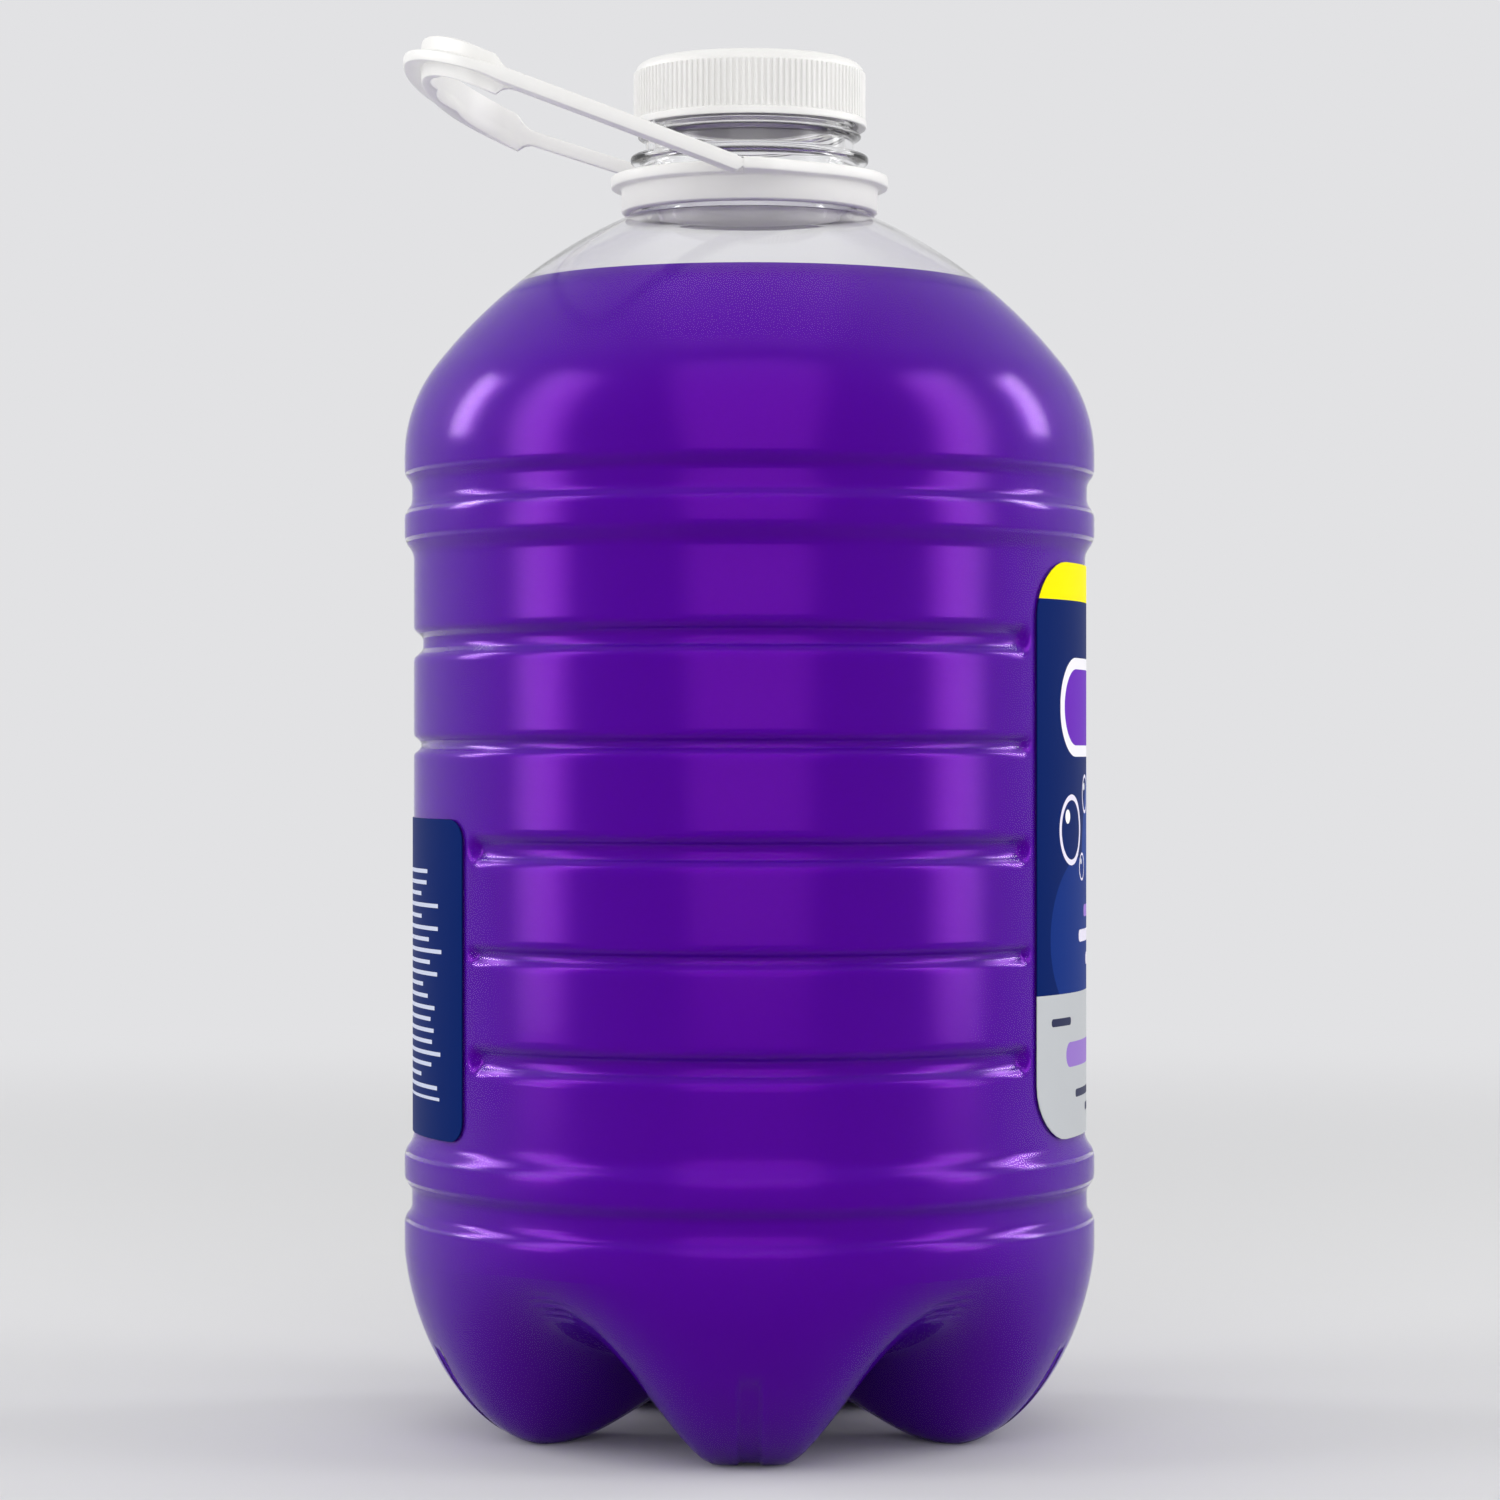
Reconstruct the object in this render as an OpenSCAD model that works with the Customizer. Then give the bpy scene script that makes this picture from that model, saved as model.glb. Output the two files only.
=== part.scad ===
// All-purpose cleaner bottle: a clear PET bottle with a petal base, a ribbed
// body and a threaded neck, the liquid in it, a fluted screw cap with its
// liner, a carry handle on a turning collar, and two film labels.
// Millimetres. The feet stand on z = 0 around the bottle's axis, the front
// label faces +X and the handle reaches towards -X.

/* [Bottle body] */
// Outer diameter over the ridges
body_d = 150; // [130:1:170]
// Wall thickness of the blown PET
wall = 0.6; // [0.4:0.05:1.2]
// Height of the straight band above the petal base
foot_band = 6.8; // [4:0.1:12]
// Depth of the ring grooves above and below the panel
groove_depth = 1.6; // [0.8:0.1:3]
// Height of the flat floor of a ring groove
groove_flat = 4.5; // [2:0.1:8]
// Height over which a ring groove slopes in
groove_slope = 2; // [1:0.1:4]
// Height of the ridges that guard the panel
ridge_h = 5.8; // [3:0.1:10]
// Depth of the panel behind the ridges
panel_depth = 2; // [1:0.1:4]
// Height over which the panel steps in
panel_slope = 2.9; // [1.5:0.1:5]
// Height of the panel between its steps
panel_h = 126.4; // [110:0.2:150]
// Height of the straight band under the shoulder
shoulder_band = 3.9; // [2:0.1:10]

/* [Panel ribs] */
// Distance from one rib to the next
rib_pitch = 21.85; // [18:0.05:24]
// Depth of the broad ribs
rib_depth = 2; // [1:0.1:3.5]
// Overall height of the broad ribs
rib_h = 6.9; // [4:0.1:9]
// Height of the floor of the broad ribs
rib_floor = 2; // [0.8:0.1:3]
// Depth of the narrow ribs
fine_rib_depth = 1.6; // [0.8:0.1:3]
// Overall height of the narrow ribs
fine_rib_h = 4.4; // [3:0.1:7]
// Height of the floor of the narrow ribs
fine_rib_floor = 0.8; // [0.4:0.1:2]
// Half the angle of the smooth label panels
label_angle = 36; // [25:0.5:42]
// Height of the smooth panel at the back
back_panel_h = 73; // [60:0.5:90]
// How far the panel draws in at the height of each rib
panel_bow = 0.05; // [0.02:0.01:0.2]

/* [Petal base] */
// Number of feet
feet = 5; // [4:1:7]
// Height of the petal base
base_h = 40; // [34:0.5:48]
// Radius of the circle on which the feet stand
foot_r = 47; // [40:0.5:54]
// Height of the dome between the feet
dome_h = 17; // [10:0.5:22]
// Radius of the flat gate at the centre of the dome
gate_r = 6; // [4:0.5:10]
// Depth by which the foot tips are cut flat
foot_flat = 0.35; // [0.2:0.05:0.8]
// Drop of the valley's edge before it turns inwards
valley_drop = 13; // [8:0.5:18]

/* [Shoulder and neck] */
// Radius of the bend from the wall into the shoulder
shoulder_r = 32; // [24:0.5:40]
// Angle at which the bend meets the shoulder
shoulder_turn = 38; // [30:0.5:46]
// Radius of the shoulder
dome_r = 110; // [95:1:130]
// Outer radius of the neck under its support ring
neck_r = 23.5; // [22:0.1:26]
// Height of the plain neck under the support ring
neck_h = 10.4; // [9:0.1:14]
// How far the support ring stands out from the neck
support_out = 2.4; // [1.5:0.1:3.5]
// Thickness of the support ring
support_t = 1.4; // [1:0.1:2.5]
// How far the neck steps in above the support ring
finish_step = 0.85; // [0.3:0.05:1.2]
// Height of the waist between the support ring and the bead
waist_h = 3.6; // [2:0.1:5]
// How far the bead stands out from the waist
bead_out = 1.65; // [0.8:0.05:1.7]
// Height of the bead
bead_h = 2.3; // [1.5:0.1:3.5]
// Height of the threaded neck above the bead
thread_h = 11.5; // [10:0.1:14]
// Wall thickness of the neck
neck_wall = 2; // [1.5:0.1:2.5]

/* [Liquid] */
// Height of the liquid above the floor
fill_z = 247.5; // [150:0.5:255]
// Gap between the liquid and the wall
liquid_gap = 0.15; // [0.1:0.05:0.5]

/* [Screw cap] */
// Outer radius of the cap over its flutes
cap_r = 25.3; // [25:0.1:27]
// Gap between the neck and the inside of the cap, for the threads
thread_gap = 1.4; // [1:0.1:2]
// Thickness of the cap's top
cap_top_t = 1.8; // [1.2:0.1:3]
// Radius of the cap's top edge
cap_edge_r = 2.5; // [1:0.1:4]
// Height of the smooth band at the cap's foot
cap_lip_h = 1.6; // [1:0.1:3]
// How far the smooth band stands out beyond the flutes
cap_lip_out = 0.2; // [0:0.05:0.5]
// Number of flutes
flutes = 120; // [60:1:140]
// Depth of the flutes
flute_depth = 0.4; // [0.2:0.05:0.6]
// Gap between the bead and the cap's foot
cap_gap = 0.3; // [0.2:0.05:1]
// Thickness of the foam liner
liner_t = 1.2; // [0.6:0.1:2]

/* [Handle collar] */
// Gap between the neck and the collar's bore
collar_gap = 0.4; // [0.3:0.05:0.8]
// How far the flange reaches out from the collar's bore
flange_w = 6.3; // [4.5:0.1:9]
// Thickness of the flange
flange_t = 2.6; // [1.8:0.1:3.5]
// Height of the skirt under the flange
skirt_h = 5.2; // [4:0.1:6.5]
// How far the skirt lies inside the flange's edge
skirt_in = 2.3; // [1:0.1:3.5]
// Wall thickness of the skirt
skirt_wall = 1.6; // [1:0.1:2.5]
// Gap between the collar and the shoulder it sits on
seat_gap = 0.3; // [0.2:0.05:0.6]

/* [Handle strap] */
// Distance of the hinges behind the bottle's axis
hinge_back = 3.2; // [0:0.1:6]
// Gap at the hinges and beside the flange
hinge_gap = 0.3; // [0.2:0.05:0.6]
// Gap between the arms and the flange
arm_gap = 0.7; // [0.4:0.1:1.5]
// Width of the arms
arm_w = 4.8; // [3.5:0.1:6]
// Thickness of the arms
arm_t = 3.3; // [2.4:0.1:4]
// Angle at which the arms rise from the collar
arm_rise = 19.2; // [5:0.1:30]
// Radius of the grip
grip_r = 55.7; // [48:0.1:62]
// Half the angle that the grip spans
grip_angle = 51; // [42:0.5:56]
// Distance from the hinges to the crown of the grip
grip_reach = 67.85; // [60:0.05:80]
// Height of the grip's wall
grip_h = 8.4; // [6:0.1:12]
// Thickness of the grip's wall
grip_t = 2; // [1.4:0.1:3]
// How far the grip's brim stands out
brim_w = 3.9; // [2:0.1:6]
// Thickness of the brim
brim_t = 2.3; // [1.6:0.1:3.2]
// Rise of the grip towards its crown, for each mm of reach
grip_slope = 0.5; // [0.1:0.05:0.7]

/* [Labels] */
// Thickness of the label film
label_t = 0.15; // [0.1:0.05:0.3]
// Gap between the film and the bottle
label_gap = 0.05; // [0.02:0.01:0.2]
// Half the angle that a label covers
label_half = 35; // [22:0.5:40]
// Gap between a label and the lower end of the panel
label_low = 1.8; // [1:0.1:6]
// Height of the front label
front_label_h = 121.8; // [90:0.2:123]
// Corner radius of the front label
front_corner = 12; // [4:0.5:20]
// Height of the back label
back_label_h = 67.6; // [50:0.2:70]
// Corner radius of the back label
back_corner = 4.5; // [2:0.5:10]

/* [Hidden] */

$fn = 96;
eps = 0.05;
body_r = body_d / 2;
panel_r = body_r - panel_depth;

// Heights of the bottle's features, each stacked on the one below.
groove_z = base_h + foot_band;
groove_end_z = groove_z + 2 * groove_slope + groove_flat;
panel_z = groove_end_z + ridge_h + panel_slope;
panel_top_z = panel_z + panel_h;
upper_groove_z = panel_top_z + panel_slope + ridge_h;
shoulder_z = upper_groove_z + 2 * groove_slope + groove_flat + shoulder_band;
rib_mid_z = panel_z + panel_h / 2;

// Centres of the two shoulder arcs, which meet at the angle shoulder_turn.
bend_c = [body_r - shoulder_r, shoulder_z];
dome_c = bend_c + (shoulder_r - dome_r) * [cos(shoulder_turn), sin(shoulder_turn)];
function dome_z(r, t = 0) = dome_c[1] + sqrt(pow(dome_r - t, 2) - pow(r - dome_c[0], 2));

// Neck, from the shoulder up to its rim.
neck_z = dome_z(neck_r);
neck_join_z = neck_z + 2;
support_z = neck_z + neck_h;
finish_r = neck_r - finish_step;
bore_r = finish_r - neck_wall;
throat_r = neck_r - 0.8 * neck_wall;
bead_z = support_z + support_t + waist_h;
rim_z = bead_z + bead_h + thread_h;
thread_r = finish_r - 0.35;

// Cap, from its foot just above the bead to its top over the liner.
cap_z = bead_z + bead_h + cap_gap;
cap_in_r = thread_r + thread_gap;
cap_h = rim_z + liner_t + cap_top_t - cap_z;
flute_root_r = cap_r - flute_depth;

// Collar, seated on the shoulder at the inner edge of its skirt.
collar_r = neck_r + collar_gap;
flange_r = collar_r + flange_w;
skirt_r = flange_r - skirt_in;
skirt_in_r = skirt_r - skirt_wall;
seat_z = dome_z(skirt_in_r) + seat_gap;
skirt_z = dome_z(skirt_r) + seat_gap + (dome_z(skirt_in_r) - dome_z(skirt_r)) * 1.7;
flange_z = skirt_z + skirt_h;

// Hinge line of the handle and the circle that its grip follows.
hinge = [-hinge_back, flange_z + flange_t / 2];
root_y = flange_r + arm_gap + arm_w / 2;
core_w = brim_w + grip_t * 0.8;
core_r = grip_r + brim_w - core_w / 2;
grip_x = hinge[0] - grip_reach + grip_r;

function arc(c, r, a0, a1, n) =
    [for (i = [0:n]) let (a = a0 + (a1 - a0) * i / n) c + r * [cos(a), sin(a)]];
function bezier(p, s) =
    pow(1 - s, 3) * p[0] + 3 * pow(1 - s, 2) * s * p[1]
    + 3 * (1 - s) * s * s * p[2] + pow(s, 3) * p[3];
function ease(x) = let (c = min(1, max(0, x))) c * c * (3 - 2 * c);

// Petal base. A meridian of a foot and one of a valley are blended round the
// bottle, and t moves the surface inwards for the cavity and the liquid.
foot_dir = 270;
foot_steps = 18;
base_rings = 14;
foot_s = 0.55;
foot_outer = [[body_r, base_h], [body_r - 1.5, base_h / 2], [foot_r + 13, -foot_flat],
    [foot_r, -foot_flat]];
foot_inner = [[foot_r, -foot_flat], [foot_r - 15, -foot_flat], [14, dome_h], [0, dome_h]];
valley = [[body_r, base_h], [body_r - 2, base_h - valley_drop], [foot_r + 3, dome_h],
    [0, dome_h]];
function foot_share(a) =
    let (m = 360 / feet, d = abs((a - foot_dir + 720 + m / 2) % m - m / 2))
    1 - ease((d / (m / 2) - 0.2) / 0.75);
function foot_at(s) =
    s < foot_s ? bezier(foot_outer, s / foot_s) : bezier(foot_inner, (s - foot_s) / (1 - foot_s));
function petal(a, s) = let (w = foot_share(a)) w * foot_at(s) + (1 - w) * bezier(valley, s);
function petal_in(a, s, t) =
    let (v = petal(a, s + 0.01) - petal(a, s - 0.01), n = [v[1], -v[0]] / norm(v))
    petal(a, s) + t * n;
function ring(pts, steps) =
    [for (i = [0:steps - 1]) let (a = 360 * i / steps, p = pts[i]) [p[0] * cos(a), p[0] * sin(a), p[1]]];

// A closed skin over a row of rings, with both ends capped.
module loft(rings) {
    n = len(rings[0]);
    m = len(rings);
    polyhedron(
        points = [for (r = rings) each r],
        faces = [
            [for (i = [n - 1:-1:0]) i],
            [for (i = [0:n - 1]) (m - 1) * n + i],
            for (j = [0:m - 2], i = [0:n - 1])
                let (a = j * n + i, b = j * n + (i + 1) % n)
                each [[a, b, b + n], [a, b + n, a + n]]
        ]
    );
}

// Rings of the base from its top down to the gate, moved inwards by t.
base_steps = feet * foot_steps;
function base_rows(t) = [
    ring([for (i = [1:base_steps]) [body_r - t - eps, base_h]], base_steps),
    for (j = [1:base_rings - 1])
        ring([for (i = [0:base_steps - 1]) petal_in(360 * i / base_steps, j / base_rings, t)], base_steps),
    ring([for (i = [1:base_steps]) [gate_r, dome_h + t]], base_steps)];

// Outline of the body's wall, moved inwards by t.
function wall_pts(t) = [
    for (p = [
        [body_r, base_h],
        [body_r, groove_z],
        [body_r - groove_depth, groove_z + groove_slope],
        [body_r - groove_depth, groove_end_z - groove_slope],
        [body_r, groove_end_z],
        [body_r, groove_end_z + ridge_h],
        [panel_r, panel_z],
        for (k = [-2:2]) each [
            [panel_r - panel_bow, rib_mid_z + k * rib_pitch],
            if (k < 2) [panel_r, rib_mid_z + (k + 0.5) * rib_pitch]],
        [panel_r, panel_top_z],
        [body_r, panel_top_z + panel_slope],
        [body_r, upper_groove_z],
        [body_r - groove_depth, upper_groove_z + groove_slope],
        [body_r - groove_depth, upper_groove_z + groove_slope + groove_flat],
        [body_r, upper_groove_z + 2 * groove_slope + groove_flat]
    ]) p - [t, 0]];
function shoulder_pts(t, r_end) = [
    each arc(bend_c, shoulder_r - t, 0, shoulder_turn, 10),
    each [for (p = arc(dome_c, dome_r - t, shoulder_turn,
        acos((r_end - dome_c[0]) / (dome_r - t)), 12)) if (p[0] < body_r) p]];

// Rib k, pressed into the surface that lies t inside the wall. It stops at the
// smooth label panels, and in the cavity t later, so that its ends have a wall.
module rib(k, t = 0) {
    broad = k % 2 == 0;
    depth = broad ? rib_depth : fine_rib_depth;
    h = broad ? rib_h : fine_rib_h;
    floor_h = broad ? rib_floor : fine_rib_floor;
    z = rib_mid_z + k * rib_pitch;
    slope = (h - floor_h) / 2 / depth;
    start = label_angle - asin(t / panel_r);
    spans = z - h / 2 > panel_z + back_panel_h
        ? [[start, 360 - 2 * start]]
        : [[start, 180 - 2 * start], [180 + start, 180 - 2 * start]];
    for (span = spans)
        rotate([0, 0, span[0]])
            rotate_extrude(angle = span[1])
                translate([panel_r - t, z])
                    polygon([
                        [-depth, -floor_h / 2],
                        [1, -h / 2 - slope],
                        [1, h / 2 + slope],
                        [-depth, floor_h / 2]
                    ]);
}

// The room inside the wall from the height low up to the neck.
module cavity(t, low) {
    difference() {
        rotate_extrude()
            polygon([
                [0, low],
                if (low < base_h) [body_r - t, low],
                each wall_pts(t),
                each shoulder_pts(t, throat_r),
                [bore_r, neck_join_z],
                [bore_r, neck_join_z + 1],
                [0, neck_join_z + 1]
            ]);
        for (k = [-2:2])
            rib(k, t);
    }
}

module bottle_body() {
    color([0.80, 0.86, 0.90, 0.5])
        difference() {
            rotate_extrude()
                polygon([
                    [0, base_h],
                    each wall_pts(0),
                    each shoulder_pts(0, neck_r),
                    [neck_r, neck_join_z],
                    [0, neck_join_z]
                ]);
            for (k = [-2:2])
                rib(k);
            cavity(wall, base_h - 1);
        }
}

// The base is one skin: up the inside from the gate, over the top edge, and
// down the outside to the gate again.
module bottle_base() {
    color([0.80, 0.86, 0.90, 0.5])
        difference() {
            loft([
                let (inside = base_rows(wall)) each [for (j = [base_rings:-1:0]) inside[j]],
                each base_rows(0)
            ]);
            translate([0, 0, -base_h / 2])
                cube([body_d, body_d, base_h], center = true);
        }
}

module bottle_neck() {
    color([0.80, 0.86, 0.90, 0.5])
        rotate_extrude()
            polygon([
                [bore_r, neck_join_z],
                [neck_r, neck_join_z],
                [neck_r, support_z],
                [neck_r + support_out - 0.3, support_z],
                [neck_r + support_out, support_z + 0.3],
                [neck_r + support_out, support_z + support_t - 0.3],
                [neck_r + support_out - 0.3, support_z + support_t],
                [finish_r, support_z + support_t],
                [finish_r, bead_z],
                [finish_r + bead_out, bead_z + 0.5],
                [finish_r + bead_out, bead_z + bead_h - 1.2],
                [finish_r + 0.4, bead_z + bead_h],
                [bore_r, bead_z + bead_h]
            ]);
}

module neck_finish() {
    color([0.80, 0.86, 0.90, 0.5])
        rotate_extrude()
            polygon([
                [bore_r, bead_z + bead_h],
                [thread_r, bead_z + bead_h],
                [thread_r, rim_z - 0.6],
                [thread_r - 0.6, rim_z],
                [bore_r + 0.4, rim_z],
                [bore_r, rim_z - 0.4]
            ]);
}

module cleaner_liquid() {
    t = wall + liquid_gap;
    color([0.40, 0.08, 0.66, 0.9])
        difference() {
            union() {
                cavity(t, base_h);
                loft(base_rows(t));
            }
            translate([-body_r, -body_r, fill_z])
                cube([body_d, body_d, rim_z]);
        }
}

module screw_cap() {
    pitch = 360 / flutes;
    color([0.94, 0.94, 0.93])
        translate([0, 0, cap_z]) {
            rotate_extrude()
                polygon([
                    [cap_in_r, 0],
                    [cap_r + cap_lip_out, 0],
                    [cap_r + cap_lip_out, cap_lip_h],
                    [flute_root_r, cap_lip_h],
                    each arc([flute_root_r - cap_edge_r, cap_h - cap_edge_r], cap_edge_r, 0, 90, 8),
                    [0, cap_h],
                    [0, cap_h - cap_top_t],
                    [cap_in_r, cap_h - cap_top_t]
                ]);
            translate([0, 0, cap_lip_h / 2])
                linear_extrude(cap_h - cap_edge_r - cap_lip_h / 2)
                    difference() {
                        polygon([for (i = [0:flutes - 1], k = [0:3])
                            let (a = (i + [0, 0.25, 0.45, 0.8][k]) * pitch)
                            (k < 2 ? flute_root_r : cap_r) * [cos(a), sin(a)]]);
                        circle(r = (cap_in_r + flute_root_r) / 2);
                    }
        }
}

module cap_liner() {
    color([0.90, 0.90, 0.88])
        translate([0, 0, rim_z])
            cylinder(r = cap_in_r - hinge_gap, h = liner_t);
}

// The collar's lugs end just short of the arms' round ends, which turn there.
module hinge_lug() {
    end_x = hinge[0] + arm_t / 2 + hinge_gap;
    outer_y = root_y + arm_w / 2;
    translate([0, 0, flange_z])
        linear_extrude(flange_t)
            polygon([
                [end_x, collar_r + flange_w / 2],
                [end_x, outer_y],
                [end_x + arm_w * 0.6, outer_y - 0.6],
                [end_x + arm_w * 1.3, outer_y - 2.3],
                [flange_r * sin(30), flange_r * cos(30)],
                [collar_r * sin(24), collar_r * cos(24) + flange_w / 2]
            ]);
}

module handle_collar() {
    color([0.93, 0.93, 0.92]) {
        rotate_extrude()
            polygon([
                [collar_r, flange_z + 0.4],
                [collar_r + 0.6, flange_z],
                [skirt_in_r, flange_z],
                [skirt_in_r, seat_z],
                [skirt_r, skirt_z],
                [skirt_r, flange_z],
                [flange_r, flange_z],
                [flange_r, flange_z + flange_t - 0.4],
                [flange_r - 0.4, flange_z + flange_t],
                [collar_r, flange_z + flange_t]
            ]);
        hinge_lug();
        mirror([0, 1, 0])
            hinge_lug();
    }
}

// Handle strap. Its sections stand upright along a path that climbs the arms
// and arches over the crown of the grip.
grip_end_z = hinge[1] + tan(arm_rise) * (hinge[0] - grip_x + core_r * cos(grip_angle));
crown_z = grip_end_z + grip_slope * core_r * (1 - cos(grip_angle));
arm_steps = 9;
grip_steps = 12;
function on_grip(a, r) = [
    grip_x - r * cos(a), r * sin(a), crown_z - grip_slope * core_r * (1 - cos(a))];
arm_end = on_grip(grip_angle, core_r);
arm_root = [hinge[0], root_y, hinge[1]];
function on_arm(s) =
    let (p = bezier([
        arm_root,
        arm_root + [-16, 4.4, 0],
        arm_end + [16, -3, 0],
        arm_end], s))
    [p[0], p[1], arm_root[2] + (arm_end[2] - arm_root[2]) * (arm_root[0] - p[0]) / (arm_root[0] - arm_end[0])];
half_path = [
    for (i = [0:arm_steps]) [on_arm(i / arm_steps), arm_w, arm_t],
    for (i = [1:grip_steps])
        let (s = ease(i / 3))
        [on_grip(grip_angle * (1 - i / grip_steps), core_r),
            arm_w + (core_w - arm_w) * s, arm_t + (brim_t - arm_t) * s]];
core_path = [
    each half_path,
    for (i = [len(half_path) - 2:-1:0])
        let (q = half_path[i]) [[q[0][0], -q[0][1], q[0][2]], q[1], q[2]]];
band_path = [
    for (a = [-1, -0.94, -0.86, -0.72, -0.58, -0.44, -0.3, -0.15, 0,
        0.15, 0.3, 0.44, 0.58, 0.72, 0.86, 0.94, 1])
        [on_grip(-a * (grip_angle - 1), grip_r - grip_t / 2), grip_t, abs(a) == 1 ? arm_t - 0.4 : grip_h]];

// One upright section of the given width and height, with eased edges.
function section(p, ahead, w, h, e) =
    let (d = [ahead[0], ahead[1]] / norm([ahead[0], ahead[1]]), out = [d[1], -d[0], 0], up = [0, 0, 1])
    [for (q = [[-1, -1], [1, -1], [1, 1], [-1, 1]], k = [0, 1])
        let (swap = q[0] * q[1] > 0 ? k : 1 - k)
        p + out * q[0] * (w / 2 - e * swap) + up * q[1] * (h / 2 - e * (1 - swap))];

module sweep(path, e) {
    n = len(path);
    loft([for (i = [0:n - 1])
        section(path[i][0], path[min(i + 1, n - 1)][0] - path[max(i - 1, 0)][0], path[i][1], path[i][2], e)]);
}

module handle_strap() {
    color([0.93, 0.93, 0.92]) {
        sweep(core_path, 0.5);
        sweep(band_path, 0.4);
        for (side = [-1, 1])
            translate([hinge[0], side * root_y, hinge[1]])
                rotate([90, 0, 0])
                    cylinder(d = arm_t, h = arm_w, center = true);
    }
}

// A label is cut from a thin tube by its outline, seen from the side.
module film_label(dir, h, corner) {
    r = panel_r + label_gap;
    half = r * sin(label_half);
    rotate([0, 0, dir])
        intersection() {
            translate([0, 0, panel_z + label_low])
                rotate_extrude()
                    translate([r, 0])
                        square([label_t, h]);
            translate([r * cos(label_half) - 5, 0, panel_z + label_low + h / 2])
                rotate([90, 0, 90])
                    linear_extrude(r)
                        polygon([
                            each arc([half - corner, h / 2 - corner], corner, 0, 90, 8),
                            each arc([corner - half, h / 2 - corner], corner, 90, 180, 8),
                            each arc([corner - half, corner - h / 2], corner, 180, 270, 8),
                            each arc([half - corner, corner - h / 2], corner, 270, 360, 8)
                        ]);
        }
}

module front_label() {
    color([0.05, 0.15, 0.42])
        film_label(0, front_label_h, front_corner);
}

module back_label() {
    color([0.05, 0.15, 0.42])
        film_label(180, back_label_h, back_corner);
}

bottle_base();
bottle_body();
bottle_neck();
neck_finish();
cleaner_liquid();
screw_cap();
cap_liner();
handle_collar();
handle_strap();
front_label();
back_label();
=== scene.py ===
"""All-purpose cleaner bottle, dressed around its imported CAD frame.

Every size is in millimetres until a mesh is made, and every mesh is in metres
in the row's frame: the feet stand on z = 0 round the bottle's axis, the front
label faces +X and the handle reaches towards -X.
"""

import logging
import math
from dataclasses import dataclass, field
from enum import Enum

import bpy
import numpy as np
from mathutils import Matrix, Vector

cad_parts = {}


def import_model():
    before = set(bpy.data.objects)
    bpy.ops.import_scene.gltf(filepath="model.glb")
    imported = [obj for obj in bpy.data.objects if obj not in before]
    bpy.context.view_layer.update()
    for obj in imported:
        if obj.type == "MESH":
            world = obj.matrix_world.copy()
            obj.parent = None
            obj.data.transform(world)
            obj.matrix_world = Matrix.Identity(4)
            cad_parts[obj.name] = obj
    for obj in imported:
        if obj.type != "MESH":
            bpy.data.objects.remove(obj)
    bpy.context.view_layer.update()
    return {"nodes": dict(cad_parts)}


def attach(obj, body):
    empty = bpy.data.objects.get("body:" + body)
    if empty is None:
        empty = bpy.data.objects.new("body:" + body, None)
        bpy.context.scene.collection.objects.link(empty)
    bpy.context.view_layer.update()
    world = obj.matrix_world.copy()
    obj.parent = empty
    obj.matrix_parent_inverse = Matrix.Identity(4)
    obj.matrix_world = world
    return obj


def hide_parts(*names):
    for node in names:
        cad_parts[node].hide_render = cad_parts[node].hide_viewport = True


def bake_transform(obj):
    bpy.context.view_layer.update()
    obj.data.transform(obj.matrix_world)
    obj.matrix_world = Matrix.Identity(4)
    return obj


log = logging.getLogger("cleaner_bottle")

MM = 0.001
IMAGE_PX = 1500.0
SHARP = 0.0001

Ring = np.ndarray
Point = tuple[float, float]
Tree = bpy.types.NodeTree
Socket = bpy.types.NodeSocket
Piece = bpy.types.Object
Material = bpy.types.Material


class Body(Enum):
    """The rigid bodies that the pieces ride on."""

    BOTTLE = "bottle"
    COLLAR = "collar"
    STRAP = "strap"
    LINER = "liner"
    CAP = "cap"


class Slot(Enum):
    """The record's material slots."""

    PET = "clear_pet"
    LIQUID = "purple_liquid"
    POLYPROPYLENE = "white_pp"
    FOAM = "white_foam"
    FILM = "printed_film"


def srgb(code: str) -> tuple[float, float, float, float]:
    """Turns an sRGB hex colour into linear RGBA.

    Args:
        code: The colour as six hex digits, such as "#580D9E".

    Returns:
        Linear red, green, blue and an alpha of 1.
    """
    parts = [int(code.lstrip("#")[i : i + 2], 16) / 255.0 for i in (0, 2, 4)]
    low = [c / 12.92 if c <= 0.04045 else ((c + 0.055) / 1.055) ** 2.4 for c in parts]
    return (low[0], low[1], low[2], 1.0)


def ease(x: float | np.ndarray) -> np.ndarray:
    """Returns the smooth step of x from 0 to 1."""
    c = np.clip(x, 0.0, 1.0)
    return c * c * (3.0 - 2.0 * c)


def bezier(points: list[Point], s: float | np.ndarray) -> np.ndarray:
    """Evaluates a cubic curve in the plane.

    Args:
        points: Its four control points.
        s: Where on the curve, from 0 to 1.

    Returns:
        The point, or one row of points for each s.
    """
    p = np.asarray(points, float)
    s = np.asarray(s, float)[..., None]
    return (1 - s) ** 3 * p[0] + 3 * (1 - s) ** 2 * s * p[1] + 3 * (1 - s) * s * s * p[2] + s**3 * p[3]


def arc(centre: Point, r: float, a0: float, a1: float, steps: int) -> list[Point]:
    """Returns points along an arc.

    Args:
        centre: Its centre.
        r: Its radius.
        a0: The angle where it starts, in degrees.
        a1: The angle where it ends, in degrees.
        steps: How many equal steps it takes.

    Returns:
        The points, both ends included.
    """
    turns = [math.radians(a0 + (a1 - a0) * i / steps) for i in range(steps + 1)]
    return [(centre[0] + r * math.cos(a), centre[1] + r * math.sin(a)) for a in turns]


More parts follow.
